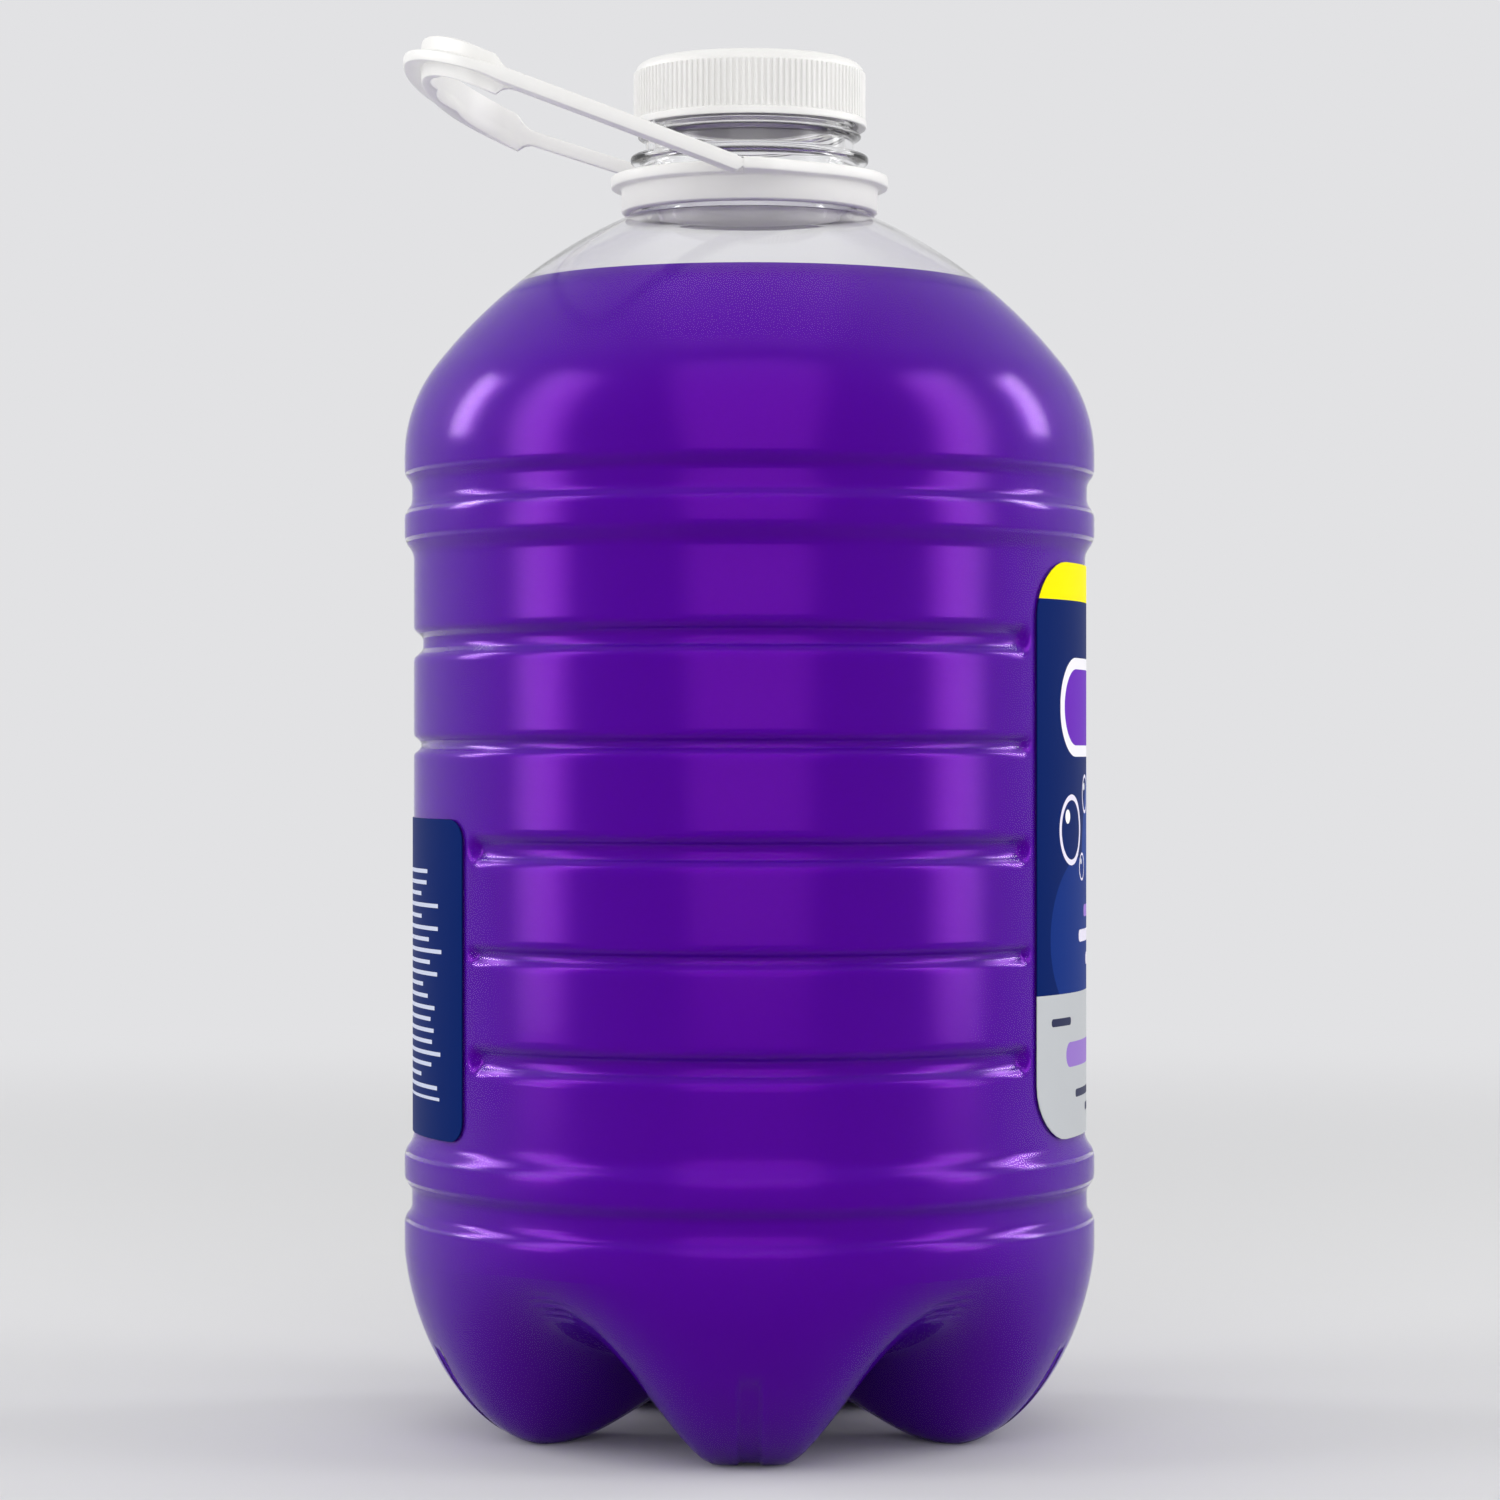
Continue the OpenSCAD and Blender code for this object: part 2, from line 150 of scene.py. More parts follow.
def round_corners(line: list[Point], r: float, steps: int = 3) -> list[Point]:
    """Eases the corners of an outline, as a mould's cutter leaves them.

    Args:
        line: The outline's corners.
        r: How far from a corner the easing starts.
        steps: How many steps round each corner.

    Returns:
        The outline with a small curve at each corner that turns.
    """
    out = [line[0]]
    for a, b, c in zip(line, line[1:], line[2:]):
        p, q, s = np.array(a), np.array(b), np.array(c)
        before, after = np.linalg.norm(p - q), np.linalg.norm(s - q)
        u, v = (p - q) / before, (s - q) / after
        if np.dot(u, v) < -0.995:
            out.append(b)
            continue
        reach = min(r, before * 0.45, after * 0.45)
        start, end = q + u * reach, q + v * reach
        if before > 6 * reach:
            out.append(tuple(start + u * reach))
        for i in range(steps + 1):
            t = i / steps
            out.append(tuple((1 - t) ** 2 * start + 2 * t * (1 - t) * q + t * t * end))
        if after > 6 * reach:
            out.append(tuple(end + v * reach))
    out.append(line[-1])
    return out


def new_piece(
    name: str, verts: np.ndarray, faces: list[tuple[int, ...]], finish: Material, smooth: float = 40.0
) -> Piece:
    """Makes a mesh object at the origin.

    Args:
        name: The piece's name.
        verts: Its points in metres.
        faces: Its faces, as indices of points.
        finish: Its material.
        smooth: The angle in degrees past which an edge stays sharp.

    Returns:
        The linked object.
    """
    mesh = bpy.data.meshes.new(name)
    mesh.from_pydata(np.asarray(verts, float).tolist(), [], faces)
    mesh.update()
    mesh.shade_smooth()
    mesh.set_sharp_from_angle(angle=math.radians(smooth))
    piece = bpy.data.objects.new(name, mesh)
    bpy.context.collection.objects.link(piece)
    dress(piece, finish)
    return piece


def skin(rings: list[Ring], pole_start: bool, pole_end: bool) -> tuple[np.ndarray, list[tuple[int, ...]]]:
    """Joins rings of equal length into one closed skin.

    Args:
        rings: Rings of points, each turning the same way round.
        pole_start: Whether the first ring closes on a point at its middle.
        pole_end: Whether the last ring closes on a point at its middle.

    Returns:
        The points in millimetres and the faces.
    """
    n = len(rings[0])
    verts = np.concatenate(rings)
    faces: list[tuple[int, ...]] = []
    for j in range(len(rings) - 1):
        for i in range(n):
            a, b = j * n + i, j * n + (i + 1) % n
            faces.append((a, b, b + n, a + n))
    last = (len(rings) - 1) * n
    if pole_start:
        verts = np.vstack([verts, rings[0].mean(axis=0)])
        faces += [(len(verts) - 1, (i + 1) % n, i) for i in range(n)]
    if pole_end:
        verts = np.vstack([verts, rings[-1].mean(axis=0)])
        faces += [(len(verts) - 1, last + i, last + (i + 1) % n) for i in range(n)]
    return verts, faces


def even_turn(columns: int) -> np.ndarray:
    """Returns evenly spaced angles for one full turn, in radians."""
    return np.linspace(0, 2 * math.pi, columns, endpoint=False)


def ring_at(r: float | np.ndarray, z: float | np.ndarray, turn: np.ndarray) -> Ring:
    """Returns one ring of points.

    Args:
        r: Its radius, or one for each angle.
        z: Its height, or one for each angle.
        turn: The angles, in radians.
    """
    return np.column_stack([r * np.cos(turn), r * np.sin(turn), z + 0.0 * turn])


def lathe(line: list[Point], turn: np.ndarray) -> list[Ring]:
    """Turns an outline of radii and heights into rings.

    Args:
        line: Radius and height of each ring.
        turn: The angles of a ring's points.

    Returns:
        The rings, in millimetres.
    """
    return [ring_at(r, z, turn) for r, z in line]


def seat(piece: Piece, body: Body, slot: Slot, *nodes: str) -> None:
    """Hands a finished piece to the frame.

    Args:
        piece: The piece.
        body: The body that it rides on.
        slot: Not used.
        nodes: The CAD nodes that it stands for.
    """
    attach(piece, body.value)
    if nodes:
        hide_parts(*nodes)
    log.info("%s: %d faces, on %s", piece.name, len(piece.data.polygons), body.value)


def put(tree: Tree, kind: str, feeds: dict[str | int, object] | None = None, **settings: object) -> bpy.types.Node:
    """Adds one node with its settings and what feeds it.

    Args:
        tree: The node tree.
        kind: The node's type.
        feeds: For an input's name or place, a value, a socket, or a node for its first output.
        settings: The node's own properties.

    Returns:
        The new node.
    """
    node = tree.nodes.new(kind)
    for name, value in settings.items():
        setattr(node, name, value)
    for key, value in (feeds or {}).items():
        if isinstance(value, bpy.types.Node):
            value = value.outputs[0]
        if isinstance(value, Socket):
            tree.links.new(value, node.inputs[key])
        else:
            node.inputs[key].default_value = value
    return node


def blank_material(name: str) -> tuple[Material, Tree]:
    """Makes a material with an empty node tree.

    Args:
        name: What the real material is.

    Returns:
        The material and its tree.
    """
    material = bpy.data.materials.new(name)
    material.use_nodes = True
    material.node_tree.nodes.clear()
    return material, material.node_tree


def relief(tree: Tree, size_mm: float, detail: float, strength: float, depth_mm: float) -> tuple[Socket, ...]:
    """Lays a fine uneven relief over a surface, in the piece's own coordinates.

    Args:
        tree: The material's tree.
        size_mm: The size of its grains.
        detail: How many finer layers it has.
        strength: How strong it is.
        depth_mm: How deep it is.

    Returns:
        The coordinates, the relief's value and the bumped normal.
    """
    place = put(tree, "ShaderNodeTexCoord").outputs["Object"]
    scale = 1 / (size_mm * MM)
    grain = put(tree, "ShaderNodeTexNoise", {"Vector": place, "Scale": scale, "Detail": detail}).outputs[0]
    bump = put(tree, "ShaderNodeBump", {"Height": grain, "Strength": strength, "Distance": depth_mm * MM})
    return place, grain, bump.outputs["Normal"]


def backdrop_seen(tree: Tree) -> Socket:
    """Returns 1 where the backdrop is seen: straight, through a wall or in a gloss."""
    ray = put(tree, "ShaderNodeLightPath").outputs
    seen = ray["Is Camera Ray"]
    for other in ("Is Transmission Ray", "Is Glossy Ray"):
        seen = put(tree, "ShaderNodeMath", {0: seen, 1: ray[other]}, operation="MAXIMUM").outputs[0]
    return seen


def dress(piece: Piece, material: Material) -> None:
    """Puts one material on the whole piece."""
    piece.data.materials.clear()
    piece.data.materials.append(material)


def bake_nodes(piece: Piece, tree: Tree, sizes: dict[str, float]) -> None:
    """Runs a Geometry Nodes tree on a piece and keeps the plain mesh.

    Args:
        piece: The piece that the tree starts from.
        tree: The tree.
        sizes: The value of each named input.
    """
    modifier = piece.modifiers.new(tree.name, "NODES")
    modifier.node_group = tree
    for item in tree.interface.items_tree:
        if item.item_type == "SOCKET" and item.in_out == "INPUT" and item.name in sizes:
            modifier[item.identifier] = sizes[item.name]
    bpy.context.view_layer.update()
    done = piece.evaluated_get(bpy.context.evaluated_depsgraph_get())
    mesh = bpy.data.meshes.new_from_object(done)
    piece.modifiers.remove(modifier)
    piece.data = mesh


def sized_tree(name: str, inputs: dict[str, float | int]) -> tuple[Tree, bpy.types.Node]:
    """Starts a Geometry Nodes tree with named size inputs.

    Args:
        name: The tree's name.
        inputs: Each input's name and first value, whole numbers as counts.

    Returns:
        The tree and its input node.
    """
    tree = bpy.data.node_groups.new(name, "GeometryNodeTree")
    tree.interface.new_socket("Geometry", in_out="INPUT", socket_type="NodeSocketGeometry")
    tree.interface.new_socket("Geometry", in_out="OUTPUT", socket_type="NodeSocketGeometry")
    for label, value in inputs.items():
        kind = "NodeSocketInt" if isinstance(value, int) else "NodeSocketFloat"
        tree.interface.new_socket(label, in_out="INPUT", socket_type=kind).default_value = value
    return tree, put(tree, "NodeGroupInput")


@dataclass(frozen=True)
class ClearPet:
    """Blow-moulded PET: water clear and glossy, with a faint waviness from the mould.

    Where the dyed cleaner wets the wall, its own tinted gloss is what the eye
    sees, so the wall's white gloss fades out below the fill level.
    """

    dry_ior: float = 1.32
    wet_ior: float = 1.08
    fill_z: float = 247.5
    roughness: float = 0.02
    wave_mm: float = 26.0
    wave_strength: float = 0.05

    def build(self) -> Material:
        """Returns the material.

        Lamps shine through the wall, so that what is inside is lit as through
        a clear film.
        """
        material, tree = blank_material("PET, blow moulded, clear")
        place, _, normal = relief(tree, self.wave_mm, 1.5, self.wave_strength, 2.0)
        height = put(tree, "ShaderNodeSeparateXYZ", {0: place}).outputs["Z"]
        gloss = put(
            tree,
            "ShaderNodeMapRange",
            {
                "Value": height,
                "From Min": (self.fill_z - 2.0) * MM,
                "From Max": (self.fill_z + 2.0) * MM,
                "To Min": self.wet_ior,
                "To Max": self.dry_ior,
            },
        )
        wall = put(
            tree,
            "ShaderNodeBsdfPrincipled",
            {
                "Base Color": srgb("#FDFDFD"),
                "Roughness": self.roughness,
                "IOR": gloss,
                "Transmission Weight": 1.0,
                "Normal": normal,
            },
        )
        lamp = put(tree, "ShaderNodeBsdfTransparent", {"Color": srgb("#FAFAFA")})
        ray = put(tree, "ShaderNodeLightPath")
        both = put(tree, "ShaderNodeMixShader", {0: ray.outputs["Is Shadow Ray"], 1: wall, 2: lamp})
        put(tree, "ShaderNodeOutputMaterial", {"Surface": both})
        return material


@dataclass(frozen=True)
class PurpleCleaner:
    """Dyed cleaner: a deep clear purple that reads as solid at this thickness."""

    deep: str = "#36007C"
    # painted rim sheen: the paler purple stands in for the gloss at the silhouettes
    pale: str = "#3C0082"
    glint: str = "#C02CFF"
    roughness: float = 0.16

    def build(self) -> Material:
        """Returns the material, with a painted rim sheen: a little paler where the liquid is seen at a slant."""
        material, tree = blank_material("dyed cleaner, purple")
        # painted sheen: Layer Weight mixes the paler purple in where the surface is seen at a slant
        rim = put(tree, "ShaderNodeLayerWeight", {"Blend": 0.22})
        tint = put(
            tree,
            "ShaderNodeMix",
            {0: rim.outputs["Facing"], 6: srgb(self.deep), 7: srgb(self.pale)},
            data_type="RGBA",
        )
        liquid = put(
            tree,
            "ShaderNodeBsdfPrincipled",
            {
                "Base Color": tint.outputs[2],
                "Roughness": self.roughness,
                "IOR": 1.5,
                "Specular IOR Level": 1.0,
                "Specular Tint": srgb(self.glint),
            },
        )
        put(tree, "ShaderNodeOutputMaterial", {"Surface": liquid})
        return material


@dataclass(frozen=True)
class WhitePolypropylene:
    """Injection-moulded polypropylene: slightly waxy white with a satin skin."""

    colour: str = "#F1F0EE"
    grain_mm: float = 0.9

    def build(self) -> Material:
        """Returns the material."""
        material, tree = blank_material("polypropylene, moulded, white")
        place, grain, normal = relief(tree, self.grain_mm, 3.0, 0.05, 0.2)
        rough = put(
            tree,
            "ShaderNodeMapRange",
            {"Value": grain, "From Min": 0.3, "From Max": 0.7, "To Min": 0.34, "To Max": 0.46},
        )
        flow = put(tree, "ShaderNodeTexNoise", {"Vector": place, "Scale": 40.0, "Detail": 1.0})
        tint = put(
            tree,
            "ShaderNodeMix",
            {0: flow.outputs["Fac"], 6: srgb(self.colour), 7: srgb("#ECEBE8")},
            data_type="RGBA",
        )
        skin_node = put(
            tree,
            "ShaderNodeBsdfPrincipled",
            {
                "Base Color": tint.outputs[2],
                "Roughness": rough,
                "IOR": 1.49,
                "Subsurface Weight": 0.12,
                "Subsurface Radius": (1.0, 1.0, 1.0),
                "Subsurface Scale": 0.0015,
                "Normal": normal,
            },
        )
        put(tree, "ShaderNodeOutputMaterial", {"Surface": skin_node})
        return material


@dataclass(frozen=True)
class LinerFoam:
    """Expanded polyethylene foam: soft matt white with fine cells."""

    cell_mm: float = 0.35

    def build(self) -> Material:
        """Returns the material."""
        material, tree = blank_material("polyethylene foam")
        place = put(tree, "ShaderNodeTexCoord").outputs["Object"]
        cells = put(tree, "ShaderNodeTexVoronoi", {"Vector": place, "Scale": 1 / (self.cell_mm * MM)})
        bump = put(tree, "ShaderNodeBump", {"Height": cells.outputs["Distance"], "Strength": 0.3, "Distance": 0.0002})
        foam = put(
            tree,
            "ShaderNodeBsdfPrincipled",
            {"Base Color": srgb("#E9E8E4"), "Roughness": 0.8, "Normal": bump.outputs["Normal"]},
        )
        put(tree, "ShaderNodeOutputMaterial", {"Surface": foam})
        return material


class LabelInk:
    """Flat print fields on a label, laid out in millimetres on the unrolled film."""

    def __init__(self, tree: Tree, radius_mm: float, ground: str, turned: bool) -> None:
        """Unrolls the label.

        Args:
            tree: The material's tree.
            radius_mm: The radius that the label lies on.
            ground: The colour of the whole film.
            turned: True for the label on the -X side.
        """
        self.tree = tree
        place = put(tree, "ShaderNodeTexCoord").outputs["Object"]
        axis = put(tree, "ShaderNodeSeparateXYZ", {0: place})
        side = -1.0 if turned else 1.0
        x = self.math("MULTIPLY", axis.outputs["X"], side)
        y = self.math("MULTIPLY", axis.outputs["Y"], side)
        self.across = self.math("MULTIPLY", self.math("ARCTAN2", y, x), radius_mm)
        self.up = self.math("MULTIPLY", axis.outputs["Z"], 1 / MM)
        self.colour: object = srgb(ground)

    def math(self, operation: str, *feeds: object) -> Socket:
        """Returns the result of one Math node fed in order."""
        return put(self.tree, "ShaderNodeMath", dict(enumerate(feeds)), operation=operation).outputs[0]

    def box(
        self, u: float, z: float, half_u: float, half_z: float, corner: float = SHARP, hole: float = 0.0
    ) -> Socket:
        """Returns a mask of 1 inside a rounded box, which is a disc where its corners take it all.

        Args:
            u: Its centre across the label.
            z: Its centre's height above the floor.
            half_u: Half its width.
            half_z: Half its height.
            corner: Its corner radius.
            hole: The radius inside its corners that stays bare.
        """
        core = (half_u - corner, half_z - corner, 0.0)
        off = put(self.tree, "ShaderNodeCombineXYZ", {0: self.across, 1: self.up})
        flat = (0.0, 0.0, 0.0)
        steps = (("SUBTRACT", (u, z, 0.0)), ("ABSOLUTE", flat), ("SUBTRACT", core), ("MAXIMUM", flat))
        for operation, by in steps:
            off = put(self.tree, "ShaderNodeVectorMath", {0: off, 1: by}, operation=operation)
        far = put(self.tree, "ShaderNodeVectorMath", {0: off}, operation="LENGTH").outputs["Value"]
        inside = self.math("LESS_THAN", far, corner)
        return self.math("MULTIPLY", inside, self.math("GREATER_THAN", far, hole)) if hole else inside

    def disc(self, u: float, z: float, r: float, hole: float = 0.0) -> Socket:
        """Returns a mask of 1 inside a disc, or between its edge and a hole."""
        return self.box(u, z, r, r, r, hole)

    def lay(self, mask: Socket, code: str) -> None:
        """Lays a colour over what is printed so far, where the mask is 1."""
        mixed = put(self.tree, "ShaderNodeMix", {0: mask, 6: self.colour, 7: srgb(code)}, data_type="RGBA")
        self.colour = mixed.outputs[2]

    def finish(self, silver: Socket | None) -> None:
        """Closes the material as a printed, varnished film.

        Args:
            silver: A mask of 1 where the ground is metallic.
        """
        normal = relief(self.tree, 18.0, 1.0, 0.05, 1.0)[2]
        film = put(
            self.tree,
            "ShaderNodeBsdfPrincipled",
            {"Base Color": self.colour, "Roughness": 0.45, "Specular IOR Level": 0.02, "Normal": normal},
        )
        if silver is not None:
            self.tree.links.new(self.math("MULTIPLY", silver, 0.35), film.inputs["Metallic"])
        put(self.tree, "ShaderNodeOutputMaterial", {"Surface": film})


@dataclass(frozen=True)
class FrontLabelPrint:
    """Varnished polypropylene film: yellow, navy and silver fields with plain bubbles."""

    radius: float = 73.2
    navy: str = "#001F60"
    yellow: str = "#FFF000"
    silver: str = "#C3C6C9"
    lilac: str = "#9C78CE"
    yellow_z: float = 179.6
    silver_z: float = 96.5

    def build(self) -> Material:
        """Returns the material."""
        material, tree = blank_material("polypropylene film, front print")
        ink = LabelInk(tree, self.radius, self.navy, turned=False)
        ink.lay(ink.disc(16.0, 121.0, 34.0), "#143C8C")
        ink.lay(ink.disc(-22.0, 108.0, 17.0), "#0E2F7C")
        ink.lay(ink.box(0.0, 157.0, 34.0, 10.5, 10.0), "#F4F2F8")
        ink.lay(ink.box(0.0, 157.0, 31.6, 8.1, 8.0), "#6C2BB8")
        for u, z, r in ((-27.0, 131.0, 7.5), (-13.0, 138.5, 4.2), (-17.5, 123.0, 3.0), (27.5, 128.0, 9.0)):
            ink.lay(ink.disc(u, z, r, r * 0.84), "#E9E4F6")
            ink.lay(ink.disc(u - r * 0.35, z + r * 0.38, r * 0.2), "#FFFFFF")
        for row, (half, code) in enumerate(((19.0, self.lilac), (25.0, "#E7E2F2"), (15.0, "#E7E2F2"))):
            ink.lay(ink.box(4.0, 113.5 - 5.2 * row, half, 1.3, 1.2), code)
        yellow = ink.math("GREATER_THAN", ink.up, self.yellow_z)
        ink.lay(yellow, self.yellow)
        silver = ink.math("LESS_THAN", ink.up, self.silver_z)
        ink.lay(silver, self.silver)
        ink.lay(ink.box(0.0, 83.45, 30.6, 2.65, 2.6), self.lilac)
        for u, z, half in ((-33.0, 90.6, 5.5), (31.0, 90.6, 7.5), (0.0, 75.0, 24.0), (0.0, 71.4, 13.0)):
            ink.lay(ink.box(u, z, half, 0.85, 0.8), "#2C3152")
        ink.finish(silver)
        return material


@dataclass(frozen=True)
class BackLabelPrint:
    """Varnished polypropylene film: navy with pale rules and a white panel."""

    radius: float = 73.2
    navy: str = "#001F60"
    rule: str = "#C9CFE4"

    def build(self) -> Material:
        """Returns the material."""
        material, tree = blank_material("polypropylene film, back print")
        ink = LabelInk(tree, self.radius, self.navy, turned=True)
        row = ink.math("DIVIDE", ink.math("SUBTRACT", ink.up, 69.0), 2.4)
        number = ink.math("FLOOR", row)
        within = ink.math("LESS_THAN", ink.math("FRACT", row), 0.36)
        ragged = put(tree, "ShaderNodeTexWhiteNoise", {"W": number}, noise_dimensions="1D")
        end = ink.math("ADD", ink.math("MULTIPLY", ragged.outputs["Value"], 14.0), 22.0)
        left = ink.math("GREATER_THAN", ink.across, -39.0)
        right = ink.math("LESS_THAN", ink.across, end)
        span = ink.math("MULTIPLY", ink.math("MULTIPLY", left, right), within)
        rules = ink.math("MULTIPLY", span, ink.box(0.0, 99.0, 40.0, 25.0))
        ink.lay(rules, self.rule)
        ink.lay(ink.box(-32.5, 77.5, 3.0, 9.0, 1.6), "#F6F6F8")
        ink.lay(ink.disc(-32.5, 79.5, 2.2, 1.3), "#20263E")
        ink.lay(ink.box(-32.5, 72.5, 2.0, 0.6), "#20263E")
        ink.finish(None)
        return material


@dataclass(frozen=True)
class PaperSweep:
    """Matt pale studio paper, evenly bright where it is far from the bottle."""

    colour: str = "#DEDEDF"
    far: str = "#E2E2E4"
    fibre_mm: float = 1.11

    def build(self) -> Material:
        """Returns the material."""
        material, tree = blank_material("studio paper, pale")
        place, _, normal = relief(tree, self.fibre_mm, 2.0, 0.03, 0.3)
        paper = put(
            tree,
            "ShaderNodeBsdfPrincipled",
            {"Base Color": srgb(self.colour), "Roughness": 0.9, "Normal": normal},
        )
        reach = put(tree, "ShaderNodeVectorMath", {0: place}, operation="LENGTH")
        share = put(
            tree,
            "ShaderNodeMapRange",
            {"Value": reach.outputs["Value"], "From Min": 0.35, "From Max": 1.3},
            interpolation_type="SMOOTHSTEP",
        )
        mix = put(tree, "ShaderNodeMath", {0: backdrop_seen(tree), 1: share}, operation="MULTIPLY")
        glow = put(tree, "ShaderNodeEmission", {"Color": srgb(self.far), "Strength": 1.0})
        both = put(tree, "ShaderNodeMixShader", {0: mix, 1: paper, 2: glow})
        put(tree, "ShaderNodeOutputMaterial", {"Surface": both})
        return material


@dataclass(frozen=True)
class BottleForm:
    """Sizes of the blown bottle in millimetres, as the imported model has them."""

    body_r: float = 74.96
    wall: float = 0.6
    foot_band: float = 6.8
    groove_depth: float = 1.6
    groove_flat: float = 4.5
    groove_slope: float = 2.0
    ridge_h: float = 5.8
    panel_depth: float = 2.0
    panel_slope: float = 2.9
    panel_h: float = 126.4
    shoulder_band: float = 3.9
    rib_pitch: float = 21.85
    broad_rib: tuple[float, float, float] = (2.0, 6.9, 2.0)
    fine_rib: tuple[float, float, float] = (1.6, 4.4, 0.8)
    label_angle: float = 36.0
    back_panel_h: float = 73.0
    feet: int = 5
    base_h: float = 40.0
    foot_r: float = 47.0
    dome_h: float = 17.0
    gate_r: float = 6.0
    foot_flat: float = 0.35
    shoulder_r: float = 32.0
    shoulder_turn: float = 38.0
    dome_r: float = 110.0
    neck_r: float = 23.5
    neck_h: float = 10.4
    support_out: float = 2.4
    support_t: float = 1.4
    finish_step: float = 0.85
    waist_h: float = 3.6
    bead_out: float = 1.65
    bead_h: float = 2.3
    thread_h: float = 11.5
    neck_wall: float = 2.0
    fill_z: float = 247.5
    foot_dir: float = 270.0
    foot_split: float = 0.55
    slot_w: float = 4.8
    slot_depth: float = 0.6
    slot_top: float = 21.0
    step_foot: float = 30.2
    step_top: float = 37.6
    step_pitch: float = 1.75
    step_depth: float = 0.45

    @property
    def groove_end_z(self) -> float:
        """Top of the lower ring groove."""
        return self.base_h + self.foot_band + 2 * self.groove_slope + self.groove_flat

    @property
    def panel_z(self) -> float:
        """Foot of the panel."""
        return self.groove_end_z + self.ridge_h + self.panel_slope

    @property
    def upper_groove_z(self) -> float:
        """Foot of the upper ring groove."""
        return self.panel_z + self.panel_h + self.panel_slope + self.ridge_h

    @property
    def shoulder_z(self) -> float:
        """Where the wall starts to bend into the shoulder."""
        return self.upper_groove_z + 2 * self.groove_slope + self.groove_flat + self.shoulder_band

    @property
    def panel_r(self) -> float:
        """Radius of the panel."""
        return self.body_r - self.panel_depth

    @property
    def finish_r(self) -> float:
        """Radius of the neck above its support ring."""
        return self.neck_r - self.finish_step

    @property
    def thread_r(self) -> float:
        """Radius of the neck between its threads."""
        return self.finish_r - 0.35

    @property
    def bore_r(self) -> float:
        """Inner radius of the neck."""
        return self.finish_r - self.neck_wall

    @property
    def dome_c(self) -> Point:
        """Centre of the shoulder's large arc."""
        turn = math.radians(self.shoulder_turn)
        reach = self.shoulder_r - self.dome_r
        return (self.body_r - self.shoulder_r + reach * math.cos(turn), self.shoulder_z + reach * math.sin(turn))

    def dome_z(self, r: float, inset: float = 0.0) -> float:
        """Returns the shoulder's height at radius r, moved inwards by inset."""
        c = self.dome_c
        return c[1] + math.sqrt((self.dome_r - inset) ** 2 - (r - c[0]) ** 2)

    @property
    def support_z(self) -> float:
        """Underside of the support ring."""
        return self.dome_z(self.neck_r) + self.neck_h

    @property
    def bead_z(self) -> float:
        """Underside of the bead."""
        return self.support_z + self.support_t + self.waist_h

    @property
    def rim_z(self) -> float:
        """Top of the neck."""
        return self.bead_z + self.bead_h + self.thread_h

    def ribs(self) -> list[tuple[float, tuple[float, float, float]]]:
        """Returns each rib's height and its depth, overall height and floor."""
        middle = self.panel_z + self.panel_h / 2
        return [(middle + k * self.rib_pitch, self.broad_rib if k % 2 == 0 else self.fine_rib) for k in range(-2, 3)]

    def rib_dent(self, turn: np.ndarray, z: float) -> np.ndarray:
        """Returns how deep the ribs are at a height, with rounded ends at the labels.

        Args:
            turn: The angles round the bottle, in radians.
            z: The height.
        """
        dent = np.zeros_like(turn)
        off_front = np.abs(np.angle(np.exp(1j * turn)))
        off_back = math.pi - off_front
        for rib_z, (depth, height, floor) in self.ribs():
            if abs(z - rib_z) > height / 2 + 0.4:
                continue
            stop = math.radians(self.label_angle)
            inset = height / 2 / self.panel_r
            past = np.maximum(stop + inset - off_front, 0.0)
            if rib_z - height / 2 < self.panel_z + self.back_panel_h:
                past = np.maximum(past, stop + inset - off_back)
            far = np.hypot(np.maximum(past, 0.0) * self.panel_r, z - rib_z)
            share = 1.0 - ease((far - floor / 2) / (height / 2 - floor / 2))
            dent = np.maximum(dent, depth * share)
        return dent

    def wall_line(self, inset: float, fillet: float) -> list[Point]:
        """Returns the outline of the wall from the base to the neck.

        Args:
            inset: How far it lies inside the outer surface.
            fillet: How far the corners are eased.
        """
        g, s, f = self.groove_depth, self.groove_slope, self.groove_flat
        low, high = self.base_h + self.foot_band, self.upper_groove_z
        line = [
            (self.body_r, self.base_h),
            (self.body_r, low),
            (self.body_r - g, low + s),
            (self.body_r - g, low + s + f),
            (self.body_r, self.groove_end_z),
            (self.body_r, self.groove_end_z + self.ridge_h),
            (self.panel_r, self.panel_z),
            (self.panel_r, self.panel_z + self.panel_h),
            (self.body_r, self.panel_z + self.panel_h + self.panel_slope),
            (self.body_r, high),
            (self.body_r - g, high + s),
            (self.body_r - g, high + s + f),
            (self.body_r, high + 2 * s + f),
            (self.body_r, self.shoulder_z - 0.5),
        ]
        if fillet:
            line = round_corners(line, fillet, 4)
        return [(r - inset, z) for r, z in line]

    def shoulder_line(self, inset: float, r_end: float) -> list[Point]:
        """Returns the shoulder's outline, from the wall up to radius r_end."""
        bend = (self.body_r - self.shoulder_r, self.shoulder_z)
        c, r = self.dome_c, self.dome_r - inset
        end = math.degrees(math.acos((r_end - c[0]) / r))
        return arc(bend, self.shoulder_r - inset, 0, self.shoulder_turn, 12) + arc(
            c, r, self.shoulder_turn, end, 16
        )[1:]

